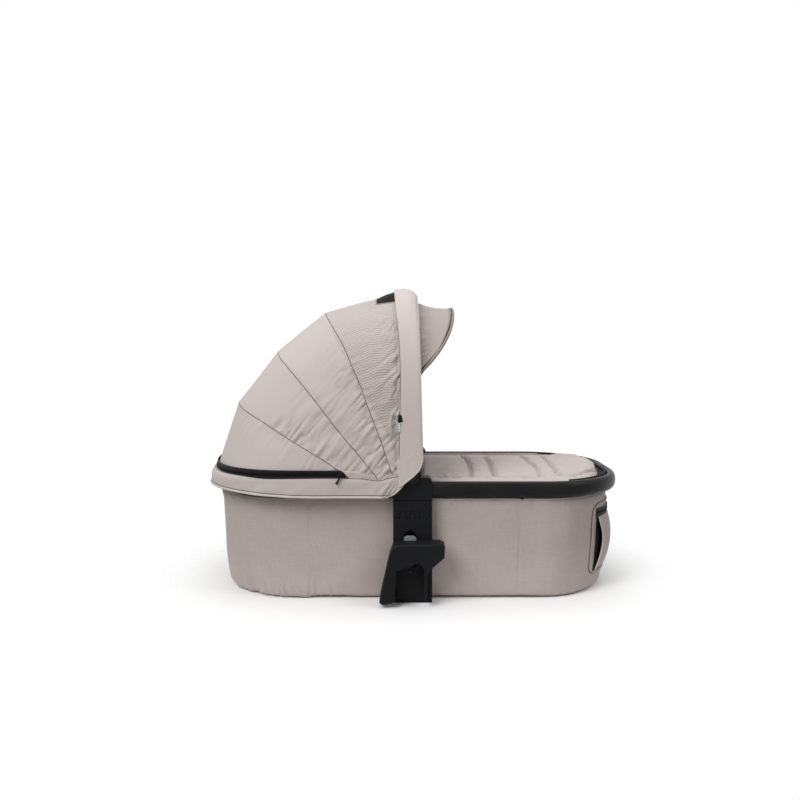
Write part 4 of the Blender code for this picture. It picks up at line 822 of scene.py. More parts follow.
def makeNotchBinding(points, normals):
    # Bound edge of the opening behind the band, and the black lining that shows in it; its black is also
    # painted shade for the dark inside of the hood seen through the opening
    row = points[0]
    inside = np.where(np.abs(row[:, 1]) < hood["notchHalfWidth"] * 1.02)[0]
    inside = inside[row[inside, 2] > hood["pivot"].z + hood["seams"][0][1] / 2]
    binding = sweep("notchBinding", row[inside] + normals[0][inside] * 0.0002, normals[0][inside],
                    roundSection(0.0015, 0.8), finishes["visorPiping"])
    front, _ = hoodSeamRow(0)
    back, _ = hoodSeamRow(1)
    rows = []
    start, last = hood["liningShadeStart"], hood["liningShadeRows"] - 1
    for i in range(last + 1):
        depth = start + (hood["notchDepth"] * 1.12 - start) * i / last
        width = np.linalg.norm(back - front, axis=1)[:, None]
        line = front + (back - front) * depth / width
        middle = 1 - smoothStep(np.abs(line[:, 1]), 0.06, 0.12)
        sag = 0.0022 + 0.0020 * math.sin(math.pi * i / last) + 0.0062 * (1 - i / last)
        sunk = 0.0038 - middle * sag
        sunk = sunk + 0.0005 * np.sin(line[:, 1] / 0.004 + i)
        line = line - normals[2] * sunk[:, None]
        rows.append(line[inside[0] - 3:inside[-1] + 4])
    # black lining sheet, also painted shade inside the opening
    liningAndShade = clothSheet("notchLiningAndShade", np.array(rows), hood["pivot"], 0.0006, [finishes["blackLiningAndShade"]])
    return [binding, liningAndShade], gridArea(np.array(rows))


def makeHood():
    points, shares, panels = hoodGrid()
    outwards = points - np.array([hood["pivot"].x - 0.1, 0, hood["pivot"].z])
    points = points + gridNormals(points, outwards) * hoodWrinkles(points, shares, panels)[:, :, None]
    normals = gridNormals(points, outwards)
    inner = points - normals * hood["thickness"]
    uvs = metreMap(points)
    starts = np.cumsum((0,) + hood["rows"])
    edges = [0] + [int(starts[i]) + hood["rows"][i] // 2 for i in range(3)] + [int(starts[4])]
    strips = hoodSeamStrips(points, normals, edges)
    extras, liningAndShadeArea = makeNotchBinding(points, normals)
    bodies = ("hood_front", "hood_bow_1", "hood_bow_2", "hood_bow_3")
    names = ("hoodClothFront", "hoodClothSecond", "hoodClothThird", "hoodClothRear")
    cloths = [finishes["ribbedCloth"], finishes["hoodCloth"], finishes["liningCloth"]]
    for index, (name, body) in enumerate(zip(names, bodies)):
        first, last = edges[index], edges[index + 1] + (1 if index < 3 else 0)
        part = points[first:last]
        piece = sheetPiece(name, part, inner[first:last], uvs[first:last], cloths, innerSlot=2, rimSlot=1,
                           rowSlots=[0 if panels[r] == 0 else 1 for r in range(first, last)])
        more = [strip for owner, strip in strips if owner == index] + (extras if index == 0 else [])
        joined(name, [piece] + more)
        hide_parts(f"hood_panel_{index + 1}")
        foldsWithHood(piece, body)


makeHood()
print("hood cloth made")


# Front band, the strap over the front bow, with its edge piping and hidden zip, whose dark tape is also
# painted shadow along the band's rear edge

def bandRow(lift, drop=0.0):
    lifts, feet = zip(*band["foot"])
    start = float(np.interp(lift, lifts, feet))
    y, s = archRow(band["halfWidth"] - drop, band["reach"] - drop, hood["bowStraight"], hood["bowPower"],
                   start, band["columns"])
    high = smoothStep(s, 0.2, 0.34)
    turn = min(0.97, max(0.0, (lift + 0.004) / (band["half"] + 0.004)))
    if lift < 0:
        lift = lift * bandRear(s) / band["half"]
    s = s - band["frontRound"] * (1 - math.sqrt(1 - turn ** 2)) * high
    s = s + band["crownRise"] * np.exp(-(y / band["crownSpread"]) ** 2) * high
    return hoodPoint(hood["seams"][0][0], s, y, lift)


def makeBand():
    rows = []
    for i in range(band["rows"]):
        across = 2 * i / (band["rows"] - 1) - 1
        across = math.copysign(abs(across) ** 0.7, across)
        rows.append(bandRow(across * band["half"], 0.0011 * smoothStep(abs(across), 0.90, 1.0)))
    points = np.array(rows)
    centre = np.array([hood["pivot"].x, 0, hood["pivot"].z])
    run = rowRuns(points)
    across = np.linspace(-1, 1, band["rows"])[:, None]
    crown = 1 - across ** 2
    swell = 0.0006 * crown + 0.0005 * latticeNoise(run / 0.07, across * 0.8 + 3, 41) * crown
    pull = np.minimum(run, run[:, -1:] - run)
    gathers = 0.0007 * ridged(pull / 0.016, across * 1.2, 44) * np.exp(-(pull / 0.05) ** 2)
    swell = swell + gathers * (1 - across ** 4)
    normals = gridNormals(points, points - centre)
    points = points + normals * swell[:, :, None]
    normals = gridNormals(points, points - centre)
    strap = sheetPiece("frontBand", points, points - normals * band["thickness"], metreMap(points),
                       [finishes["bandCloth"], finishes["liningCloth"]], innerSlot=1)
    pieces = [strap]
    for row in (2, band["rows"] - 3):
        pieces.append(stitchRow("bandStitches", points[row, 6:-6], normals[row, 6:-6],
                                finishes["hoodCloth"], 0.0030, 0.0019, 0.00022))
    front = points[-1, 3:-3]
    pieces.append(sweep("bandFrontEdge", front, normals[-1, 3:-3], roundSection(0.0009),
                        finishes["bandCloth"]))
    for end in (0, -1):
        foot = along(points[:, end], 40)
        ups = along(normals[:, end], 40)
        pieces.append(sweep("bandFootPiping", foot, ups, roundSection(0.0016), finishes["pipingCloth"]))
    strapPiece = joined("frontBand", pieces)
    settle(strapPiece, "hood_front", "hood_cloth", "front_band_left", "front_band_right")
    makeBandZip(points, normals)


def makeBandZip(points, normals):
    # The covered zip along the band's rear edge on each side, with a slider and pull on the left. Its dark
    # tape is the zip and also painted shadow, the line of shade along that edge.
    rear, ups = points[0], normals[0]
    zipAndShadowTapes = []
    for side in (-1, 1):
        where = (rear[:, 1] * side > 0) & (rear[:, 2] > band["zipShadowLow"]) & (rear[:, 2] < band["zipShadowTop"] + 0.08)
        path = rear[where] + np.array([-0.0009, 0, 0]) - ups[where] * 0.0004
        # dark strip: zip tape and painted shadow line along the rear edge
        zipAndShadowTapes.append(sweep("bandZipTapeAndShadow", path, ups[where], roundSection(0.0006, 0.7), finishes["seamAndShadowCloth"]))
    settle(joined("bandZipAndShadow", zipAndShadowTapes), "hood_front", "black_zip")
    spot = int(np.argmin(np.abs(rear[:, 2] - band["sliderHeight"]) + 9 * (rear[:, 1] > 0)))
    place, normal = Vector(rear[spot]), Vector(ups[spot])
    body = softBlock("bandSlider", band["sliderSize"], 0.0018, finishes["blackPlastic"], 0.45)
    body.location = place + normal * 0.0012 + Vector((0.0006, 0, 0))
    pull = softBlock("bandPull", band["pullSize"], 0.0005, finishes["steel"])
    pull.location = place + normal * 0.0036 + Vector((0.0008, 0, -0.0165))
    ring = sweep("bandPullRing", ringPath(Vector(body.location) + Vector((0, -0.0012, -0.0036)), 0.0018, "y"),
                 [(0, 1, 0)] * 16, roundSection(0.0004, 1, 6), finishes["steel"], closed=True)
    applyPlace(body, pull)
    settle(joined("bandZipSlider", [body, pull, ring]), "hood_front", "black_zip")


makeBand()
print("front band made")


# Hood base: skirt over the rim, with the dark seam and piping, and the zip above it

skirt = {
    # (height, reach from the pivot, half width) from the tucked top down to the hem
    "levels": [(0.2425, 0.4000, 0.2232), (0.2395, 0.4004, 0.2238), (0.2350, 0.4018, 0.2240),
               (0.2338, 0.4036, 0.2256), (0.2322, 0.4056, 0.2264), (0.2290, 0.4082, 0.2270),
               (0.2255, 0.4102, 0.2272), (0.2215, 0.4114, 0.2272), (0.2170, 0.4122, 0.2270),
               (0.2120, 0.4128, 0.2268), (0.2070, 0.4130, 0.2266), (0.2035, 0.4128, 0.2264),
               (0.2005, 0.4124, 0.2262)],
    "straight": 0.200,
    "power": 2.5,
    "frontLimit": 0.0120,
    "columns": 400,
    "thickness": 0.0012,
    "tapeLow": 0.2362,
    "tapeRearLow": 0.2306,
    "tapeHigh": 0.2506,
    "tapeHalfWidth": 0.2270,
    "tapeReach": 0.4030,
    "tapeRows": 15,
    "tapeThickness": 0.0011,
    "tapeLean": 0.0042,
    "rearRise": 0.0072,
    # how its top seam dips and rises along the side, as (place along the cot, change of height)
    "topLine": [(-0.140, 0.0022), (-0.100, 0.0004), (-0.072, -0.0026), (-0.045, 0.0040), (-0.020, 0.0060)],
    # the front edge of the skirt, as (height, place along the cot)
    "frontEdge": [(0.1985, -0.0610), (0.2010, -0.0530), (0.2045, -0.0453), (0.2130, -0.0354),
                  (0.2229, -0.0253), (0.2290, -0.0200), (0.2340, -0.0150)],
    "tapeEnd": 0.1160,
    "tapePoint": 0.0140,
    "toothPitch": 0.0022,
    "sliderSize": (0.0120, 0.0030, 0.0088),
    "pullSize": (0.0050, 0.0016, 0.0150),
}


def baseRow(z, reach, halfWidth, start, count):
    y, s = archRow(halfWidth, reach, skirt["straight"], skirt["power"], start, count)
    return np.stack([hood["pivot"].x - s, y, np.full_like(y, z)], axis=1)


def skirtStart(z):
    x = float(smoothCurve(z, *zip(*skirt["frontEdge"])))
    return max(hood["pivot"].x - x, skirt["frontLimit"])


def makeSkirt():
    centre = (hood["pivot"].x - 0.15, 0, 0.22)
    rows = [baseRow(z, reach, half, skirtStart(z), skirt["columns"]) for z, reach, half in skirt["levels"]]
    points = np.array(rows)
    run = rowRuns(points)
    down = np.array([min(1.0, max(0.0, (0.2330 - z) / 0.02)) for z, _, _ in skirt["levels"]])[:, None]
    points[:, :, 2] += skirt["rearRise"] * down * smoothStep(hood["pivot"].x - points[:, :, 0], 0.16, 0.40)
    wave = 0.0016 * latticeNoise(run / 0.06, down * 0.7, 51)
    wave = wave + 0.0009 * latticeNoise(run / 0.021, down * 2, 52)
    top = 1 - smoothStep(0.2338 - np.array([z for z, _, _ in skirt["levels"]]), 0.0, 0.018)[:, None]
    points[:, :, 2] += top * smoothCurve(points[:, :, 0], *zip(*skirt["topLine"]))
    front = np.exp(-((points[:, :, 0] + 0.040) / 0.026) ** 2)
    slope = points[:, :, 2] * math.cos(1.05) - points[:, :, 0] * math.sin(1.05)
    wave = wave - 0.0048 * front * ridged(slope / 0.0072, down * 0.8, 53)
    points = points + gridNormals(points, points - centre) * (wave * down)[:, :, None]
    normals = gridNormals(points, points - centre)
    cloth = sheetPiece("hoodSkirt", points, points - normals * skirt["thickness"], metreMap(points),
                       [finishes["hoodCloth"], finishes["liningCloth"]], innerSlot=1)
    pieces = [cloth]
    levels = [z for z, _, _ in skirt["levels"]]
    line = len(levels) - 2
    flat = [(-0.0007, -0.0004), (-0.0007, 0.0002), (0.0, 0.0005), (0.0007, 0.0002), (0.0007, -0.0004)]
    pieces.append(sweep("skirtSeam", points[line], normals[line], flat, finishes["seamAndShadowCloth"]))
    pieces.append(sweep("skirtTopSeam", points[3] + normals[3] * 0.0002, normals[3], flat,
                        finishes["seamAndShadowCloth"]))
    hem = points[-1] + np.array([0, 0, -0.0006])
    pieces.append(sweep("skirtPiping", hem, normals[-1], roundSection(0.0022), finishes["pipingCloth"]))
    for end in (0, -1):
        edge = along(points[3:, end], 24)
        pieces.append(sweep("skirtFrontPiping", edge, along(normals[3:, end], 24), roundSection(0.0017),
                            finishes["pipingCloth"]))
    piece = settle(joined("hoodSkirt", pieces), "cot", "hood_cloth", "hood_skirt", "hood_gusset_left",
                   "hood_gusset_right")


def makeZip():
    rows = []
    middle = (skirt["tapeLow"] + skirt["tapeHigh"]) / 2
    last = skirt["tapeRows"] - 1
    for i in range(last + 1):
        share = i / last
        z = skirt["tapeLow"] + (skirt["tapeHigh"] - skirt["tapeLow"]) * share
        groove = 0.0006 * math.exp(-((z - middle) / 0.0012) ** 2)
        row = baseRow(z, skirt["tapeReach"] - groove, skirt["tapeHalfWidth"] - groove,
                      skirt["tapeEnd"] + skirt["tapePoint"] * share, skirt["columns"])
        behind = smoothStep(hood["pivot"].x - row[:, 0], 0.15, 0.39)
        row[:, 2] -= (skirt["tapeLow"] - skirt["tapeRearLow"]) * behind * (1 - share)
        row[:, 0] += skirt["tapeLean"] * behind * share
        rows.append(row)
    points = np.array(rows)
    centre = (hood["pivot"].x - 0.15, 0, middle)
    normals = gridNormals(points, points - np.array(centre))
    tape = sheetPiece("zipTape", points, points - normals * skirt["tapeThickness"], metreMap(points),
                      [finishes["zipTape"]])
    ups = normals[last // 2, 8:-8]
    path = points[last // 2, 8:-8] + ups * 0.0004
    teeth = [stitchRow("zipTeeth", path + np.array([0, 0, side * 0.0011]), ups, finishes["blackPlastic"],
                       skirt["toothPitch"], 0.0013, 0.0008) for side in (-1, 1)]
    edges = [stitchRow("zipStitches", points[row] + normals[row] * 0.0001, normals[row],
                       finishes["seamAndShadowCloth"], 0.0036, 0.0024, 0.0003) for row in (1, last - 1)]
    settle(joined("zipTape", [tape] + teeth + edges), "cot", "black_zip", "zip_tape")


def makeZipSlider():
    low, high = (Vector(c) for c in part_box("zip_slider"))
    place = Vector((high.x + 0.0165, low.y + 0.0006, (skirt["tapeLow"] + skirt["tapeHigh"]) / 2))
    body = softBlock("slider", skirt["sliderSize"], 0.0013, finishes["blackPlastic"])
    body.location = place
    bridge = sweep("sliderBridge", [place + Vector((0.0042 * math.cos(t), -0.0012 - 0.0022 * math.sin(t), 0))
                                    for t in np.linspace(0, math.pi, 14)],
                   [(0, 0, 1)] * 14, roundSection(0.0009, 1, 8), finishes["darkSteel"])
    ring = sweep("sliderRing", ringPath(place + Vector((0, -0.0026, -0.0030)), 0.0030, "x"), [(1, 0, 0)] * 16,
                 roundSection(0.0005, 1, 6), finishes["darkSteel"], closed=True)
    pull = softBlock("sliderPull", skirt["pullSize"], 0.0007, finishes["gripSkin"], 0.7)
    pull.rotation_euler = (0, math.radians(28), 0)
    pull.location = place + Vector((-0.0045, -0.0026, -0.0115))
    applyPlace(body, pull)
    settle(joined("zipSlider", [body, bridge, ring, pull]), "zip_runner", "black_zip", "zip_slider")


makeSkirt()
makeZip()
makeZipSlider()
print("hood base made")


# Visor, a flip peak between the band's front edge and a piped brim

visor = {
    "pivot": Vector(joints["visor_flip"]["pos_m"]),
    "angle": hood["seams"][0][0] + 29.7,
    "reach": 0.2055,
    "halfWidth": 0.2140,
    "power": 1.9,
    "hemReach": 0.3350,
    "hemHalfWidth": 0.2236,
    "hemLift": 0.0165,
    # how far the brim stands forward of its plane, as (reach, lift)
    "bow": [(0.0, -0.0020), (0.040, -0.0058), (0.061, -0.0048), (0.088, 0.0023), (0.127, 0.0086),
            (0.160, 0.0086), (0.192, 0.0016), (0.206, -0.0040)],
    "hemTurn": 16,
    "brimTurn": 13,
    "columns": 260,
    "rows": 26,
    "thickness": 0.0012,
    "belly": 0.05,
    "blendStart": 0.022,
    "blendEnd": 0.060,
}


def turnedArch(halfWidth, reach, straight, power, turnFrom, count):
    turn = np.radians(np.linspace(turnFrom, 180 - turnFrom, count))
    y = -np.sign(np.cos(turn)) * np.abs(np.cos(turn)) ** (2 / power) * halfWidth
    return y, straight + (reach - straight) * np.abs(np.sin(turn)) ** (2 / power)


def visorPoint(reach, y, lift=0.0):
    turn = math.radians(visor["angle"])
    x = visor["pivot"].x - reach * math.cos(turn) + lift * math.sin(turn)
    z = visor["pivot"].z + reach * math.sin(turn) + lift * math.cos(turn)
    return np.stack(np.broadcast_arrays(x, y, z), axis=-1)


def makeVisor():
    y, s = turnedArch(visor["hemHalfWidth"], visor["hemReach"], hood["bowStraight"], hood["bowPower"],
                      visor["hemTurn"], visor["columns"])
    hem = hoodPoint(hood["seams"][0][0], s, y, visor["hemLift"])
    y, s = turnedArch(visor["halfWidth"], visor["reach"], 0.002, visor["power"], visor["brimTurn"],
                      visor["columns"])
    brim = visorPoint(s, y, smoothCurve(s, *zip(*visor["bow"])))
    hem, brim = along(hem, visor["columns"]), along(brim, visor["columns"])
    centre = np.array([visor["pivot"].x, 0, visor["pivot"].z])
    rows = []
    for i in range(visor["rows"]):
        share = i / (visor["rows"] - 1)
        line = hem + (brim - hem) * share
        inward = centre - line
        inward /= np.linalg.norm(inward, axis=1, keepdims=True)
        width = np.linalg.norm(brim - hem, axis=1)[:, None]
        rows.append(line + inward * visor["belly"] * width * 4 * share * (1 - share))
    points = np.array(rows)
    run = rowRuns(points)
    share = np.linspace(0, 1, visor["rows"])[:, None]
    wave = 0.0012 * latticeNoise(run / 0.05, share * 1.5, 61) * 4 * share * (1 - share)
    wave = wave + 0.0042 * ridged(run / 0.011, share * 1.2, 62) * np.exp(-(share / 0.3) ** 2)
    points = points + gridNormals(points, points - centre) * (wave * smoothStep(share, 0.03, 0.2))[:, :, None]
    normals = gridNormals(points, points - centre)
    inner = points - normals * visor["thickness"]
    # the inner face is black lining that also paints the shade under the visor
    cloth = sheetPiece("visorCloth", points, inner, metreMap(points),
                       [finishes["visorCloth"], finishes["blackLiningAndShade"]], innerSlot=1)
    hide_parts("visor_cloth")
    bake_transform(cloth)
    edge, ups = points[-1], normals[-1]
    inside = points[-3]
    pieces = [
        sweep("visorPiping", edge + ups * 0.0002, ups, roundSection(0.0020), finishes["visorPiping"]),
        sweep("visorSecondPiping", inside + normals[-3] * 0.0004, normals[-3], roundSection(0.0013, 0.8),
              finishes["visorPiping"]),
    ]
    y, s = turnedArch(visor["halfWidth"] - 0.0006, visor["reach"] - 0.0012, 0.002, visor["power"], 1.0, 200)
    wire = visorPoint(s, y, smoothCurve(s, *zip(*visor["bow"])))
    pieces.append(sweep("visorBrimStrip", wire, wire - centre, [(-0.0042, -0.0009), (-0.0042, 0.0007),
                                                               (0.0030, 0.0007), (0.0030, -0.0009)],
                        finishes["blackPlastic"]))
    settle(joined("visorBrim", pieces), "visor", "black_plastic", "visor_brim")


makeVisor()
print("visor made")


# Rim tubes, one bent tube on each side of the hubs

rim = {
    "halfLength": 0.4035,
    "halfWidth": 0.1995,
    "corner": 0.1555,
    "height": (0.1947, 0.2257),
    "thickness": 0.0190,
    "count": 720,
    "sides": 28,
    "squareness": 0.9,
}


def makeRims():
    loop = planOutline(rim["halfLength"], rim["halfWidth"], rim["corner"], rim["count"])
    middle = sum(rim["height"]) / 2
    tall = (rim["height"][1] - rim["height"][0]) / 2
    turns = np.linspace(0, 2 * math.pi, rim["sides"], endpoint=False)
    power = rim["squareness"]
    section = [(rim["thickness"] / 2 * math.copysign(abs(math.cos(t)) ** power, math.cos(t)),
                tall * math.copysign(abs(math.sin(t)) ** power, math.sin(t))) for t in turns]
    for name, side in (("rim_front", 1), ("rim_rear", -1)):
        low, high = (Vector(c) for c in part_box(name))
        end = low.x if side > 0 else high.x
        turned = np.roll(loop, rim["count"] // 2, axis=0) if side > 0 else loop
        kept = turned[turned[:, 0] * side > end * side + 0.0005]
        ends = [np.array([[end, math.copysign(rim["halfWidth"], kept[i, 1])]]) for i in (0, -1)]
        kept = np.concatenate([ends[0], kept, ends[1]])
        path = np.column_stack([kept, np.full(len(kept), middle)])
        tube = sweep(name.replace("rim_", "rimTube"), path, [(0, 0, 1)] * len(path), section,
                     finishes["satinTube"])
        settle(straighten(tube), "cot", "black_tube", name)


makeRims()
print("rims made")


# Basin cover and the lining inside it

tub = {
    # (height, half length, half width, corner) up the cover's wall, from the bottom edge to the hem
    "wall": [(0.0125, 0.3862, 0.1895, 0.157), (0.0300, 0.3898, 0.1915, 0.157),
             (0.0575, 0.3940, 0.1932, 0.158), (0.1100, 0.3976, 0.1956, 0.159),
             (0.1770, 0.4006, 0.1974, 0.160), (0.1925, 0.4008, 0.1976, 0.160)],
    # how much shorter it is at the foot end, as (height, length)
    "footTrim": [(0.0125, 0.0030), (0.0600, 0.0045), (0.1500, 0.0062), (0.1925, 0.0058)],
    "edgeRadius": 0.0100,
    "sag": 0.0018,
    "columns": 640,
    "bottomRings": 9,
    "edgeRings": 6,
    "wallRings": 44,
    "thickness": 0.0012,
    "seamPlaces": (-0.203, 0.196),
    "hemHeight": 0.1900,
    "widest": 0.1984,
    "liningAndShade": [(0.0122, 0.3785, 0.1818, 0.151), (0.0300, 0.3800, 0.1830, 0.151),
               (0.2222, 0.3926, 0.1886, 0.1495)],
    "liningFloor": 0.0108,
    "liningColumns": 420,
    "liningRings": (6, 5, 40),
    "liningRadius": 0.016,
    "liningThickness": 0.0014,
}


def wallSize(levels, z):
    heights, lengths, widths, corners = zip(*levels)
    return [float(np.interp(z, heights, sizes)) for sizes in (lengths, widths, corners)]


def trimFoot(x, z):
    heights, trims = zip(*tub["footTrim"])
    return x - np.interp(z, heights, trims) * smoothStep(x, 0.22, 0.37)


def tubRows(levels, radius, floor, columns, bottom, edge, wall):
    low = levels[0][0]
    length, width, corner = wallSize(levels, low)
    rows = []
    for i in range(bottom):
        share = 0.004 + 0.996 * i / bottom
        size = ((length - radius) * share, (width - radius) * share, (corner - radius) * share)
        plan = planOutline(*size, columns)
        rows.append(np.column_stack([plan, np.full(columns, floor)]))
    for i in range(edge):
        turn = math.pi / 2 * i / edge
        pull = radius * (1 - math.sin(turn))
        plan = planOutline(length - pull, width - pull, corner - pull, columns)
        rows.append(np.column_stack([plan, np.full(columns, floor + (low - floor) * (1 - math.cos(turn)))]))
    for i in range(wall + 1):
        z = low + (levels[-1][0] - low) * i / wall
        rows.append(np.column_stack([planOutline(*wallSize(levels, z), columns), np.full(columns, z)]))
    return np.array(rows)


def makeCover():
    first = tub["bottomRings"] + tub["edgeRings"]
    low = tub["wall"][0][0]
    points = tubRows(tub["wall"], tub["edgeRadius"], low - tub["edgeRadius"], tub["columns"],
                     tub["bottomRings"], tub["edgeRings"], tub["wallRings"])
    for i in range(tub["bottomRings"]):
        points[i, :, 2] += tub["sag"] * (1 - (i / tub["bottomRings"]) ** 4)
    points[:, :, 0] = trimFoot(points[:, :, 0], points[:, :, 2])
    centre = np.array([0, 0, 0.12])
    normals = gridNormals(points, points - centre, True)
    normals[:tub["bottomRings"]] = (0, 0, -1)
    x, y, z = points[:, :, 0], points[:, :, 1], points[:, :, 2]
    run = rowRuns(points)
    run = run[first] * np.ones((len(points), 1))
    rear = smoothStep(-x, 0.12, 0.22) * (1 - smoothStep(-x, 0.33, 0.40))
    foot = smoothStep(x, 0.20, 0.33)
    free = 1 - smoothStep(z, 0.165, 0.188)
    free = free * (0.25 + 0.75 * smoothStep(z, 0.014, 0.060))
    height = 0.0036 * latticeNoise(run / 0.075, z / 0.16, 71) * free
    height += 0.0015 * latticeNoise(run / 0.030 + z * 14, z / 0.06, 72) * free * (0.5 + foot)
    gather = rear * np.exp(-((z - 0.014) / 0.026) ** 2)
    height += 0.0024 * gather * ridged(run / 0.021, z / 0.09, 73)
    height += 0.0022 * gather * ridged(run / 0.0095, z / 0.06, 74)
    tucks = np.exp(-((z - 0.188) / 0.014) ** 2)
    height += 0.0014 * tucks * ridged(run / 0.0125, z / 0.03, 75)
    for place in tub["seamPlaces"]:
        height -= 0.0009 * np.exp(-((x - place) / 0.0022) ** 2) * (np.abs(y) > 0.15) * (z > low)
        near = np.exp(-((np.abs(x - place) - 0.006) / 0.008) ** 2) * (np.abs(y) > 0.15)
        height += 0.0005 * near * latticeNoise(z / 0.010, x / 0.01, 76) * (z > low)
    clear = 1 - smoothStep(np.abs(x + 0.008), 0.040, 0.065)
    flush = np.minimum(height, 0.0008 * (1 - clear) + np.minimum(height, 0) * clear)
    height = np.where(clear > 0, flush, height)
    behindPocket = smoothStep(x, 0.285, 0.335)
    height = height * (1 - behindPocket) + np.minimum(height * 0.3, 0.0004) * behindPocket
    points = points + normals * height[:, :, None]
    points[first:, :, 1] = np.clip(points[first:, :, 1], -tub["widest"], tub["widest"])
    inner = points - normals * tub["thickness"]
    cover = sheetPiece("basinCover", points, inner, metreMap(points, True),
                       [finishes["basinCloth"], finishes["liningCloth"]], wrap=True, innerSlot=1)
    pieces = [cover]
    hem = int(np.argmin(np.abs(points[:, 0, 2] - tub["hemHeight"])))
    pieces.append(stitchRow("hemStitches", points[hem], normals[hem], finishes["seamAndShadowCloth"], 0.0052, 0.0030,
                            0.00035))
    flat = [(-0.0006, -0.0004), (-0.0006, 0.0002), (0.0, 0.0004), (0.0006, 0.0002), (0.0006, -0.0004)]
    for place in tub["seamPlaces"]:
        for side in (-1, 1):
            far = np.abs(points[hem, :, 0] - place) + 9 * (points[hem, :, 1] * side < 0)
            column = int(np.argmin(far))
            line = slice(first - 3, len(points) - 1)
            pieces.append(sweep("wallSeam", points[line, column], normals[line, column], flat,
                                finishes["basinCloth"]))
    cover = settle(joined("basinCover", pieces), "cot", "basin_cloth", "outer_cover")
    for side in (-1, 1):
        snap = softBlock("hemSnap", (0.0050, 0.0020, 0.0036), 0.0009, finishes["blackPlastic"])
        snap.location = (tub["seamPlaces"][1] + 0.0050, side * tub["widest"], tub["wall"][-1][0])
        applyPlace(snap)
        settle(snap, "cot", "black_plastic")


def makeLining():
    points = tubRows(tub["liningAndShade"], tub["liningRadius"], tub["liningFloor"], tub["liningColumns"],
                     *tub["liningRings"])
    centre = np.array([0, 0, 0.12])
    normals = gridNormals(points, points - centre, True)
    normals[:tub["liningRings"][0]] = (0, 0, -1)
    z = points[:, :, 2]
    run = stepsAlong(points[20]) * np.ones((len(points), 1))
    free = smoothStep(z, 0.05, 0.09) * (1 - smoothStep(z, 0.200, 0.219))
    height = 0.0022 * latticeNoise(run / 0.07, z / 0.08, 81) - 0.0022
    height += 0.0012 * ridged(run / 0.024, z / 0.06, 82) - 0.0012
    points = points + normals * (height * free)[:, :, None]
    inner = points - normals * tub["liningThickness"]
    piece = sheetPiece("basinLining", points, inner, metreMap(points, True), [finishes["liningCloth"]],
                       wrap=True)
    edge = (points[-1] + inner[-1]) / 2
    binding = sweep("liningBinding", edge, [(0, 0, 1)] * len(edge), roundSection(0.0014),
                    finishes["liningCloth"], closed=True)
    stitches = stitchRow("liningStitches", inner[-3], -normals[-3], finishes["pipingCloth"], 0.0040, 0.0026)
    piece = settle(joined("basinLining", [piece, binding, stitches]), "cot", "lining_cloth", "inner_liner")


makeCover()
makeLining()
print("cover and lining made")


# Padded pieces: the mattress and the quilted apron, puffed up by a cloth simulation

pads = {
    "pressure": 4.0,
    "frames": 20,
    "apronStart": 0.0050,
    "apronEnd": 0.3865,
    "apronTaper": 0.268,
    "apronHalfWidth": 0.1835,
    "apronBase": 0.2098,
    "seamInset": 0.0425,
    "channels": (0.1120, 0.1590, 0.2510, 0.2900),
    "mattressCap": 0.005,
    "mattressEdge": 0.010,
    "mattressInset": 0.003,
    "mattressCorner": 0.144,
    "mattressColumns": 160,
    "mattressSink": 0.002,
    "mattressVoxel": 0.006,
    "apronVoxel": 0.004,
    "apronCap": 0.0045,
}


def readPoints(piece):
    flat = np.empty(len(piece.data.vertices) * 3, np.float32)
    piece.data.vertices.foreach_get("co", flat)
    return flat.reshape(-1, 3).astype(float)


def writePoints(piece, points):
    piece.data.vertices.foreach_set("co", points.astype(np.float32).ravel())
    piece.data.update()


def readNormals(piece):
    flat = np.empty(len(piece.data.vertices) * 3, np.float32)
    piece.data.vertex_normals.foreach_get("vector", flat)
    return flat.reshape(-1, 3).astype(float)


def plump(piece, voxel, cap, inside):
    # Even mesh, cloth under pressure, and a limit on how far each point may move
    mesher = piece.modifiers.new("evenMesh", "REMESH")
    mesher.mode = "VOXEL"
    mesher.voxel_size = voxel
    applyModifier(piece, mesher)
    start = readPoints(piece)
    cloth = piece.modifiers.new("puff", "CLOTH")
    settings = cloth.settings
    settings.quality = 5
    settings.mass = 0.3
    settings.tension_stiffness = 12
    settings.compression_stiffness = 4
    settings.shear_stiffness = 6
    settings.bending_stiffness = 0.4
    settings.use_pressure = True
    settings.uniform_pressure_force = pads["pressure"]
    settings.effector_weights.gravity = 0
    cloth.collision_settings.use_collision = False
    cloth.point_cache.frame_start = 1
    cloth.point_cache.frame_end = pads["frames"]
    for step in range(1, pads["frames"] + 1):
        bpy.context.scene.frame_set(step)
    graph = bpy.context.evaluated_depsgraph_get()
    moved = readPoints(piece.evaluated_get(graph))
    piece.modifiers.remove(cloth)
    bpy.context.scene.frame_set(1)
    shift = moved - start
    far = np.maximum(np.linalg.norm(shift, axis=1, keepdims=True), 1e-9)
    shift *= cap * np.tanh(far / cap) / far
    writePoints(piece, inside(start + shift))
    finer = piece.modifiers.new("finer", "SUBSURF")
    finer.levels = finer.render_levels = 1
    applyModifier(piece, finer)


def coverPad(piece, material):  # map in metres seen from above, smooth faces
    mesh = piece.data
    mesh.materials.clear()
    mesh.materials.append(material)
    layer = mesh.uv_layers.new(name="clothMap") if not mesh.uv_layers else mesh.uv_layers[0]
    points = readPoints(piece)
    corners = np.empty(len(mesh.loops), np.int32)
    mesh.loops.foreach_get("vertex_index", corners)
    layer.data.foreach_set("uv", points[corners][:, [1, 0]].astype(np.float32).ravel())
    mesh.shade_smooth()


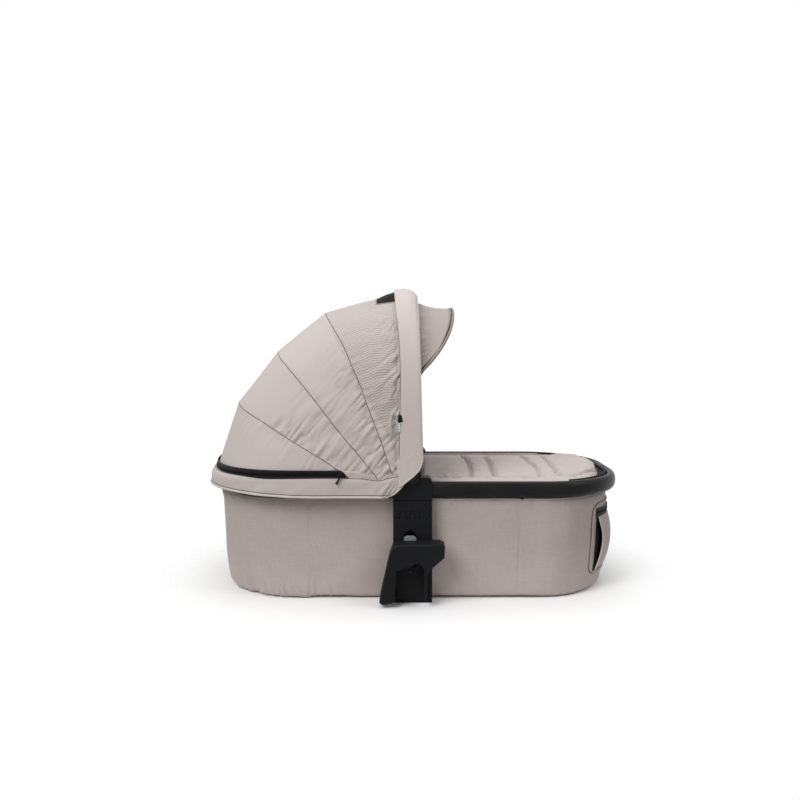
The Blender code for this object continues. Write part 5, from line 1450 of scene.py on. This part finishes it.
def surfaceLine(piece, places, top=0.3):
    # Drops each (x, y) place onto the top of a piece
    tree = BVHTree.FromObject(piece, bpy.context.evaluated_depsgraph_get())
    path, ups = [], []
    for x, y in places:
        hit, normal, _, _ = tree.ray_cast(Vector((x, y, top)), Vector((0, 0, -1)))
        if hit is not None:
            path.append(hit)
            ups.append(normal)
    return path, ups


def makeMattress():
    low, high = (Vector(c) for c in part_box("mattress"))
    edge, inset, columns = pads["mattressEdge"], pads["mattressInset"], pads["mattressColumns"]
    rings = []
    for z, pull in ((low.z, edge), (low.z + edge * 0.3, edge * 0.3), (low.z + edge, 0), (high.z - edge, 0),
                    (high.z - edge * 0.3, edge * 0.3), (high.z, edge)):
        plan = planOutline(high.x - inset - pull, high.y - inset - pull,
                           pads["mattressCorner"] - pull, columns)
        rings.append(np.column_stack([plan, np.full(columns, z - pads["mattressSink"])]))
    rings = np.array(rings)
    piece = straighten(gridPiece("mattressPad", rings, metreMap(rings, True), [finishes["padCloth"]],
                                 wrap=True, caps=True))

    def inside(points):
        points[:, 2] = np.clip(points[:, 2], low.z + 0.0002, high.z + 0.004)
        reach = np.clip(np.abs(points[:, :2]), 0, [high.x, high.y])
        points[:, :2] = np.sign(points[:, :2]) * reach
        return points

    plump(piece, pads["mattressVoxel"], pads["mattressCap"], inside)
    points, normals = readPoints(piece), readNormals(piece)
    x, y = points[:, 0], points[:, 1]
    upwards = smoothStep(normals[:, 2], 0.2, 0.8)
    swell = 0.0030 * (1 - (x / high.x) ** 2) * (1 - (y / high.y) ** 2)
    swell = swell + 0.0008 * latticeNoise(x / 0.05, y / 0.05, 91)
    buttons = np.hypot((x + 0.05) % 0.10 - 0.05, (y + 0.05) % 0.10 - 0.05)
    swell = swell - 0.0030 * np.exp(-(buttons / 0.010) ** 2) * (np.abs(x) < 0.32) * (np.abs(y) < 0.14)
    points[:, 2] += swell * upwards
    writePoints(piece, points)
    coverPad(piece, finishes["padCloth"])
    cords = []
    for z in (low.z + 0.007, high.z - 0.007):
        plan = planOutline(high.x - 0.0012, high.y - 0.0012, 0.145, 400)
        path = np.column_stack([plan, np.full(400, z)])
        cords.append(sweep("mattressPiping", path, [(0, 0, 1)] * 400, roundSection(0.0018),
                           finishes["pipingCloth"], closed=True))
    piece = settle(joined("mattressPad", [piece] + cords), "cot", "foam_cloth", "mattress")


def apronHalf(x):  # half width of the apron, rounded off at the foot end
    past = np.clip((x - pads["apronTaper"]) / (pads["apronEnd"] - pads["apronTaper"]), 0, 1)
    return pads["apronHalfWidth"] * (1 - past ** 3.2) ** (1 / 1.9)


def apronTop(x, y):
    share = np.clip(np.abs(y) / np.maximum(apronHalf(x), 0.02), 0, 1)
    raised = 0.0050 * smoothStep(x, 0.29, 0.345) * (1 - share ** 6)
    side = 0.0130 * np.sqrt(np.maximum(1 - share ** 7, 0))
    return pads["apronBase"] + side + 0.0060 * (1 - share ** 2) + raised


def makeApron():
    rings = []
    for x in np.concatenate([pads["apronStart"] + np.array([0.0, 0.0015, 0.005]),
                             np.linspace(0.012, 0.362, 44),
                             pads["apronEnd"] - np.array([0.012, 0.007, 0.003, 0.0008])]):
        half = float(apronHalf(x)) - 0.003
        thin = math.sqrt(min(1.0, max(0.06, (x - pads["apronStart"]) / 0.006)))
        turns = np.linspace(0, 2 * math.pi, 72, endpoint=False)
        y = half * np.sign(np.cos(turns)) * np.abs(np.cos(turns)) ** 0.7
        top = pads["apronBase"] + (apronTop(x, y) - pads["apronBase"] - 0.002) * thin
        low = pads["apronBase"] + 0.001 - 0.002 * np.sqrt(np.maximum(1 - (np.abs(y) / half) ** 5, 0)) * thin
        rings.append(np.column_stack([np.full(72, x), y, np.where(np.sin(turns) >= 0, top, low)]))
    rings = np.array(rings)
    piece = straighten(gridPiece("quiltedApron", rings, metreMap(rings, True), [finishes["apronCloth"]],
                                 wrap=True, caps=True))

    def inside(points):
        half = apronHalf(np.clip(points[:, 0], pads["apronStart"], pads["apronEnd"] - 0.0005)) + 0.002
        points[:, 1] = np.clip(points[:, 1], -half, half)
        points[:, 2] = np.clip(points[:, 2], pads["apronBase"] - 0.0016, 0.2400)
        return points

    plump(piece, pads["apronVoxel"], pads["apronCap"], inside)
    points, normals = readPoints(piece), readNormals(piece)
    x, y = points[:, 0], points[:, 1]
    upwards = smoothStep(normals[:, 2], 0.0, 0.6)
    half = apronHalf(np.clip(x, 0, pads["apronEnd"] - 0.0005))
    fromEdge = half - np.abs(y)
    seam = fromEdge - pads["seamInset"]
    inner = smoothStep(seam, -0.004, 0.006)
    height = 0.0011 * latticeNoise(x / 0.045, y / 0.07, 92) + 0.0005 * latticeNoise(x / 0.018, y / 0.06, 93)
    for number, place in enumerate(pads["channels"]):
        away = x - place - 0.004 * latticeNoise(y / 0.06, 0 * y + number, 94)
        height -= 0.0080 * np.exp(-(away / 0.0038) ** 2) * inner
        height -= 0.0050 * np.exp(-(away / 0.0140) ** 2) * inner
        pleat = ridged(y / 0.0105 + 0.4 * np.sign(away), x / 0.02 + number, 95 + number)
        height += 0.0030 * pleat * np.exp(-((np.abs(away) - 0.006) / 0.0085) ** 2) * inner
    height -= 0.0068 * np.exp(-(seam / 0.0034) ** 2)
    height -= 0.0034 * np.exp(-(seam / 0.0120) ** 2)
    pleat = ridged(x / 0.0115 + 0.3 * np.sign(seam), y / 0.03, 101)
    height += 0.0034 * pleat * np.exp(-((np.abs(seam) - 0.005) / 0.009) ** 2)
    folds = smoothStep(x, 0.295, 0.33) * inner + (1 - smoothStep(x, 0.06, 0.10)) * inner
    height += 0.0030 * folds * ridged(y / 0.026, x / 0.09, 102)
    points[:, 2] += height * upwards
    writePoints(piece, points)
    coverPad(piece, finishes["apronCloth"])
    lines = []
    reach = pads["apronHalfWidth"] - pads["seamInset"]
    for place in pads["channels"]:
        lines.append([(place, y) for y in np.linspace(-reach, reach, 90)])
    for side in (-1, 1):
        lines.append([(x, side * (float(apronHalf(x)) - pads["seamInset"]))
                      for x in np.linspace(0.02, 0.345, 100)])
    stitches = []
    for line in lines:
        path, ups = surfaceLine(piece, line)
        stitches.append(stitchRow("apronStitches", path, ups, finishes["pipingCloth"], 0.0042, 0.0026,
                                  0.00026))
    piece = joined("quiltedApron", [piece] + stitches)
    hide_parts("apron_flap", "apron_foot")
    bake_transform(piece)


footRing = {
    "outer": (0.3936, 0.1897, 0.1495),  # half length, half width and corner, at the rim
    "inner": (0.3640, 0.1650, 0.135),  # and beside the apron
    "columns": 420,
    "rows": 13,
    "height": 0.2246,
    "drop": 0.0115,
    "start": 0.295,
}


def makeFootLiningAndShade():
    # Creased black lining between the apron's end and the rim; its black is also painted shade for the dark
    # gap there
    columns, count = footRing["columns"], footRing["rows"]
    outer = planOutline(*footRing["outer"], columns)
    inner = planOutline(*footRing["inner"], columns)
    steps = np.arange(columns)
    rows = []
    for i in range(count):
        share = i / (count - 1)
        plan = outer * (1 - share) + inner * share
        drop = footRing["height"] - footRing["drop"] * share ** 0.6
        middle = math.sin(math.pi * share)
        crease = 0.0022 * ridged(steps / 7.0, np.full(columns, share * 2.2), 111) * middle
        crease = crease + 0.0012 * ridged(steps / 3.1, np.full(columns, share * 4.0), 112) * middle
        rows.append(np.column_stack([plan, drop + crease]))
    rows = np.roll(np.array(rows), columns // 2, axis=1)
    rows = rows[:, rows[0, :, 0] > footRing["start"]]
    cloth = clothSheet("footLiningAndShade", rows, (0.3, 0, 0.0), 0.0008, [finishes["blackLiningAndShade"]])
    # thick black roll under the rim's edge, also painted shade in the gap
    edge = rows[0] + np.array([-0.0014, 0, -0.0014])
    binding = sweep("footLiningAndShadeEdge", edge, [(0, 0, 1)] * len(edge), roundSection(0.0030),
                    finishes["blackLiningAndShade"])
    piece = settle(joined("footLiningAndShade", [cloth, binding]), "cot", "lining_cloth")


makeMattress()
makeApron()
makeFootLiningAndShade()
print("padded pieces made")


# Release tabs, rounded plates that slide in front of the carriers

tabs = {
    "plateSize": (0.0236, 0.0020, 0.0350),
    "plateCorner": 0.0066,
    "plateEdge": 0.0008,
    "plateOut": 0.0018,  # outwards from the solid's front face
    "plateDrop": 0.0182,  # down from its top
    "ribSize": (0.0120, 0.0010, 0.0012),
    "ribOut": 0.0028,
    "ribDrop": 0.0075,
    "ribPitch": 0.0034,
    "stemSize": (0.0150, 0.0060, 0.0300),
    "stemIn": 0.0020,
    "stemRise": 0.0160,  # up from the solid's foot
    "ledgeSize": (0.0080, 0.0070, 0.0136),
    "ledgeIn": 0.0072,
    "ledgeRise": 0.0070,
}


def makeTabs():
    grey = finishes["greyPlastic"]
    for side, body in ((-1, "left"), (1, "right")):
        low, high = (Vector(c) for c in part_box(f"release_tab_{body}"))
        middle = (low + high) / 2
        front = max(abs(low.y), abs(high.y))
        plate = roundPlate("tabPlate", tabs["plateSize"], tabs["plateCorner"], tabs["plateEdge"], grey)
        plate.location = (middle.x, side * (front + tabs["plateOut"]), high.z - tabs["plateDrop"])
        ribs = []
        for i in range(3):
            rib = softBlock("tabRib", tabs["ribSize"], 0.0004, grey)
            rib.location = (middle.x, side * (front + tabs["ribOut"]),
                            high.z - tabs["ribDrop"] - tabs["ribPitch"] * i)
            ribs.append(rib)
        stem = softBlock("tabStem", tabs["stemSize"], 0.0010, grey)
        stem.location = (middle.x, side * (front - tabs["stemIn"]), low.z + tabs["stemRise"])
        ledge = softBlock("tabLedge", tabs["ledgeSize"], 0.0008, grey)
        ledge.location = (middle.x, side * (front - tabs["ledgeIn"]), low.z + tabs["ledgeRise"])
        applyPlace(plate, stem, ledge, *ribs)
        settle(joined("releaseTab", [plate, stem, ledge] + ribs), f"tab_{body}", "grey_plastic",
               f"release_tab_{body}")


makeTabs()
print("release tabs made")


# Foot pocket: a piped panel with a zip, and a flap that stands off below it

pocket = {
    "halfWidth": 0.1515,
    "bottom": 0.0340,
    "top": 0.1705,
    "corner": 0.018,
    "zipMiddle": 0.1515,
    "zipSideRise": 0.0030,
    "zipTall": 0.0155,
    "zipHalfWidth": 0.1445,
    "zipRows": 11,
    "zipColumns": 220,
    "flapHalfWidth": 0.1400,
    "flapBottom": 0.0410,
    "flapTop": 0.1450,
    "bulge": 0.0095,
    "sideLift": 0.62,
    "sliderSize": (0.0030, 0.0110, 0.0080),
    "pullSize": (0.0014, 0.0050, 0.0160),
}


def wallPoint(y, z, out=0.0):  # a place on the cover's foot wall, moved outwards
    y, z, out = np.broadcast_arrays(np.asarray(y, float), np.asarray(z, float), np.asarray(out, float))
    heights, lengths, widths, corners = zip(*tub["wall"])
    length, width, corner = (np.interp(z, heights, sizes) for sizes in (lengths, widths, corners))
    past = np.clip(np.abs(y) - (width - corner), 0, corner * 0.999)
    deep = np.sqrt(corner ** 2 - past ** 2)
    normal = np.stack([deep / corner, np.sign(y) * past / corner, np.zeros_like(y)], axis=-1)
    base = np.stack([trimFoot(length - corner + deep, z), y, z], axis=-1)
    return base + normal * out[..., None], normal


def pocketEdge(z):  # half width of the panel with its rounded corners
    near = np.minimum(z - pocket["bottom"], pocket["top"] - z)
    into = np.clip(pocket["corner"] - near, 0, pocket["corner"])
    return pocket["halfWidth"] - pocket["corner"] + np.sqrt(pocket["corner"] ** 2 - into ** 2)


def pocketGrid(heights, halves, out, columns=150):
    share = np.linspace(-1, 1, columns)
    share = np.sin(share * math.pi / 2 * 0.86) / math.sin(math.pi / 2 * 0.86)
    y = np.asarray(halves)[:, None] * share[None]
    z = np.broadcast_to(np.asarray(heights)[:, None], y.shape) if np.ndim(heights) == 1 else heights
    points, normals = wallPoint(y, z, out(y, z, share[None]))
    return points, normals


def pocketSheet(name, points, normals, thickness, materials, innerSlot=0):
    return sheetPiece(name, points, points - normals * thickness, metreMap(points), materials,
                      innerSlot=innerSlot, rimSlot=innerSlot)


def makePocket():
    heights = np.concatenate([pocket["bottom"] + np.array([0.0, 0.0008, 0.0025, 0.006, 0.012]),
                              np.linspace(pocket["bottom"] + 0.020, pocket["top"] - 0.020, 26),
                              pocket["top"] - np.array([0.012, 0.006, 0.0025, 0.0008, 0.0])])
    points, normals = pocketGrid(heights, pocketEdge(heights),
                                 lambda y, z, share: 0.0016 + 0.0006 * latticeNoise(y / 0.03, z / 0.03, 121))
    panel = pocketSheet("pocketPanel", points, normals, 0.0014, [finishes["basinCloth"]])
    loopZ = np.concatenate([heights, heights[::-1]])
    loopY = np.concatenate([pocketEdge(heights), -pocketEdge(heights)[::-1]])
    loop = along(np.column_stack([loopY, loopZ, 0 * loopZ]), 500)
    path, ups = wallPoint(loop[:, 0], loop[:, 1], 0.0020)
    bottomY = np.linspace(-loop[0, 0], loop[0, 0], 120)[1:-1]
    bottomPath, bottomUps = wallPoint(bottomY, pocket["bottom"], 0.0020)
    path, ups = np.concatenate([path, bottomPath]), np.concatenate([ups, bottomUps])
    edge = sweep("pocketPiping", path, ups, roundSection(0.0011), finishes["basinCloth"], closed=True)
    middle = (pocket["top"] + pocket["bottom"]) / 2
    linePath, lineUps = wallPoint(loop[:, 0] * 0.96, (loop[:, 1] - middle) * 0.914 + middle, 0.0020)
    line = sweep("pocketSeam", linePath, lineUps, roundSection(0.0004), finishes["visorPiping"])
    outerPath, outerUps = wallPoint(loop[:, 0] * 1.008, (loop[:, 1] - middle) * 1.02 + middle, 0.0008)
    outer = sweep("pocketOuterSeam", outerPath, outerUps, roundSection(0.0008), finishes["seamAndShadowCloth"])
    # black lining behind the flap, showing round its edges: also painted shade under the flap
    backing, backNormals = pocketGrid(np.linspace(pocket["flapBottom"] - 0.002, 0.150, 20),
                                      np.full(20, pocket["flapHalfWidth"] + 0.002),
                                      lambda y, z, share: 0.0026 + 0 * y)
    liningAndShade = pocketSheet("pocketLiningAndShade", backing, backNormals, 0.0006, [finishes["blackLiningAndShade"]])
    piece = settle(joined("pocketPanel", [panel, edge, line, outer, liningAndShade]), "cot", "basin_cloth",
                   "foot_pocket")
    makePocketFlap()
    makePocketZip()


def makePocketFlap():
    down = np.linspace(0, 1, 40)
    heights = pocket["flapTop"] + (pocket["flapBottom"] - pocket["flapTop"]) * down
    halves = pocket["flapHalfWidth"] - 0.004 - 0.010 * np.sin(math.pi * down) ** 2

    def lift(y, z, share):
        u = np.clip((pocket["flapTop"] - z) / (pocket["flapTop"] - pocket["flapBottom"]), 0, 1)
        body = np.sin(math.pi * u ** 0.9) ** 0.8
        side = 1 - (1 - pocket["sideLift"]) * np.abs(share) ** 4
        folds = 0.0012 * latticeNoise(y / 0.035, z / 0.05, 131)
        folds = folds + 0.0009 * ridged(y / 0.02 + z * 6, z / 0.08, 132)
        return 0.0034 + pocket["bulge"] * body * side + folds * np.sin(math.pi * u)

    points, normals = pocketGrid(heights, halves, lift)
    flap = pocketSheet("pocketFlap", points, normals, 0.0012,
                       [finishes["basinCloth"], finishes["liningCloth"]], 1)
    pieces = [flap]
    for column in (0, -1):
        pieces.append(sweep("flapBinding", points[:, column], normals[:, column], roundSection(0.0014),
                            finishes["liningCloth"]))
    for row in (2, -3):
        pieces.append(stitchRow("flapStitches", points[row], normals[row], finishes["hoodCloth"]))
    piece = settle(joined("pocketFlap", pieces), "cot", "basin_cloth")


def makePocketZip():
    rows, half, tall = pocket["zipRows"], pocket["zipHalfWidth"], pocket["zipTall"]
    share = np.linspace(0, 1, rows)
    y = np.linspace(-half, half, pocket["zipColumns"])[None] * np.ones((rows, 1))
    rise = pocket["zipSideRise"] * (y / half) ** 2
    z = pocket["zipMiddle"] - tall / 2 + tall * share[:, None] + rise
    groove = 0.0006 * np.exp(-((share - 0.5) / 0.1) ** 2)[:, None]
    points, normals = wallPoint(y, z, 0.0042 - groove)
    tape = pocketSheet("pocketZip", points, normals, 0.0012, [finishes["zipTape"]])
    ups = normals[rows // 2, 4:-4]
    path = points[rows // 2, 4:-4] + ups * 0.0004
    teeth = [stitchRow("pocketTeeth", path + np.array([0, 0, side * 0.0010]), ups, finishes["blackPlastic"],
                       0.0022, 0.0013, 0.0008) for side in (-1, 1)]
    edges = [stitchRow("pocketZipStitches", points[row], normals[row], finishes["seamAndShadowCloth"],
                        0.0036, 0.0024, 0.0003) for row in (1, rows - 2)]
    spot, out = Vector(points[rows // 2, -13]), Vector(normals[rows // 2, -13])
    slider = softBlock("pocketSlider", pocket["sliderSize"], 0.0012, finishes["blackPlastic"])
    slider.rotation_euler = (0, 0, math.atan2(out.y, out.x))
    slider.location = spot + out * 0.0016
    pull = softBlock("pocketPull", pocket["pullSize"], 0.0006, finishes["gripSkin"], 0.7)
    pull.rotation_euler = slider.rotation_euler
    pull.location = spot + out * 0.0036 + Vector((0, 0, -0.0110))
    applyPlace(slider, pull)
    settle(joined("pocketZip", [tape, slider, pull] + teeth + edges), "cot", "black_zip", "pocket_zip")


makePocket()
print("foot pocket made")


# Floor, lamps and camera

studio = {
    "cameraPlace": (-0.032, -1.75, 0.504),
    "focalShare": 815 / 800,
    "horizonShare": 65 / 800,
    "sensorWidth": 36,
    "floorColour": (0.93, 0.93, 0.93),
    "floorClear": 0.33,
    "floorEdge": 0.60,
    "floorHalf": 1.5,
    "floorDrop": 0.0006,
    "worldStrength": 0.34,
    # each lamp's place, width and power
    "lamps": {"keyLamp": ((-1.5, -1.9, 2.2), 1.8, 64), "topLamp": ((0.2, 0.3, 2.4), 2.4, 24),
              "fillLamp": ((2.0, -1.0, 1.9), 1.2, 14)},
    "lampAim": (0, 0, 0.25),
}


def makeStudio():
    camera = bpy.data.objects.new("camera", bpy.data.cameras.new("camera"))
    camera.location = studio["cameraPlace"]
    camera.rotation_euler = (math.pi / 2, 0, 0)
    camera.data.sensor_width = studio["sensorWidth"]
    camera.data.lens = studio["sensorWidth"] * studio["focalShare"]
    camera.data.shift_y = -studio["horizonShare"]
    camera.data.clip_start = 0.01
    bpy.context.scene.collection.objects.link(camera)
    bpy.context.scene.camera = camera
    for name, (place, size, power) in studio["lamps"].items():
        lamp = bpy.data.lights.new(name, "AREA")
        lamp.shape = "DISK"
        lamp.size = size
        lamp.energy = power
        holder = bpy.data.objects.new(name, lamp)
        holder.location = place
        aim = Vector(studio["lampAim"]) - Vector(place)
        holder.rotation_euler = aim.to_track_quat("-Z", "Y").to_euler()
        bpy.context.scene.collection.objects.link(holder)
    world = bpy.data.worlds.new("studioWorld")
    bpy.context.scene.world = world
    world.use_nodes = True
    tree = world.node_tree
    soft = tree.nodes["Background"]
    soft.inputs["Color"].default_value = (1, 1, 1, 1)
    soft.inputs["Strength"].default_value = studio["worldStrength"]
    white = addNode(tree, "ShaderNodeBackground", {"Color": (1, 1, 1, 1), "Strength": 1.0})
    rays = addNode(tree, "ShaderNodeLightPath")
    seen = mathNode(tree, "MAXIMUM", rays.outputs["Is Camera Ray"],
                    mathNode(tree, "MAXIMUM", rays.outputs["Is Glossy Ray"],
                             rays.outputs["Is Transmission Ray"]))
    mixed = addNode(tree, "ShaderNodeMixShader", {0: seen, 1: soft.outputs[0], 2: white.outputs[0]})
    tree.links.new(mixed.outputs[0], tree.nodes["World Output"].inputs[0])
    bpy.context.scene.view_settings.view_transform = "Standard"


def makeFloor():
    material = bpy.data.materials.new("paleFloor")
    material.use_nodes = True
    tree = material.node_tree
    shader = tree.nodes["Principled BSDF"]
    shader.inputs["Base Color"].default_value = (*studio["floorColour"], 1)
    shader.inputs["Roughness"].default_value = 0.9
    spots = addNode(tree, "ShaderNodeTexCoord")
    away = addNode(tree, "ShaderNodeVectorMath", {0: spots.outputs["Object"]}, operation="LENGTH")
    fade = addNode(tree, "ShaderNodeMapRange", {0: away.outputs["Value"], 1: studio["floorClear"],
                                                2: studio["floorEdge"], 3: 0.0, 4: 1.0},
                   interpolation_type="SMOOTHSTEP")
    clear = addNode(tree, "ShaderNodeBsdfTransparent")
    mixed = addNode(tree, "ShaderNodeMixShader", {0: fade.outputs[0], 1: shader.outputs[0],
                                                  2: clear.outputs[0]})
    tree.links.new(mixed.outputs[0], tree.nodes["Material Output"].inputs[0])
    mesh = bpy.data.meshes.new("floor")
    edge = studio["floorHalf"]
    mesh.from_pydata([(-edge, -edge, 0), (edge, -edge, 0), (edge, edge, 0), (-edge, edge, 0)], [],
                     [(0, 1, 2, 3)])
    mesh.materials.append(material)
    floor = bpy.data.objects.new("floor", mesh)
    floor.location.z = -studio["floorDrop"]
    bpy.context.scene.collection.objects.link(floor)


makeStudio()
makeFloor()
print("floor, lamps and camera placed")


# CAD pieces that keep their shape and get their finish here

def bothSides(*names):  # the left and the right node of each name
    return [f"{name}_{side}" for name in names for side in ("left", "right")]


dressed = {
    "blackPlastic": ["under_brace", "front_bow", *bothSides("hub_housing", "carrier_head", "carrier_leg",
                                                            "adapter_shroud")],
    "greyPlastic": bothSides("hub_button"),
    "steel": bothSides("visor_rivet"),
    "darkSteel": bothSides("hood_pin", "socket_screw", "latch_bolt", "latch_spring"),
    "boardPlastic": ["base_tray"],
    "gripSkin": ["handle_grip", *bothSides("head_foot", "foot_foot")],
    "hoodCloth": ["bow_1", "bow_2", "bow_3"],  # as if they ran in sleeves of the hood's cloth
}

edges = {
    "rounded": ["under_brace", "handle_grip", "base_tray",
                *bothSides("hub_housing", "carrier_head", "carrier_leg", "adapter_shroud", "hub_button")],
    "width": 0.0009,
    "segments": 3,
    "sharpAngle": 32,
}


def dressNodes():
    for finish, names in dressed.items():
        for name in names:
            node = nodes[name]
            node.data.materials.clear()
            node.data.materials.append(finishes[finish])
    for name in edges["rounded"]:
        node = nodes[name]
        node.data.shade_smooth()
        weld = node.modifiers.new("weld", "WELD")
        weld.merge_threshold = 0.00001
        bevel = node.modifiers.new("softEdges", "BEVEL")
        bevel.width = edges["width"]
        bevel.segments = edges["segments"]
        bevel.limit_method = "ANGLE"
        bevel.angle_limit = math.radians(edges["sharpAngle"])
        bevel.use_clamp_overlap = True
        normals = node.modifiers.new("evenNormals", "WEIGHTED_NORMAL")
        normals.keep_sharp = False


dressNodes()
print("solids dressed")
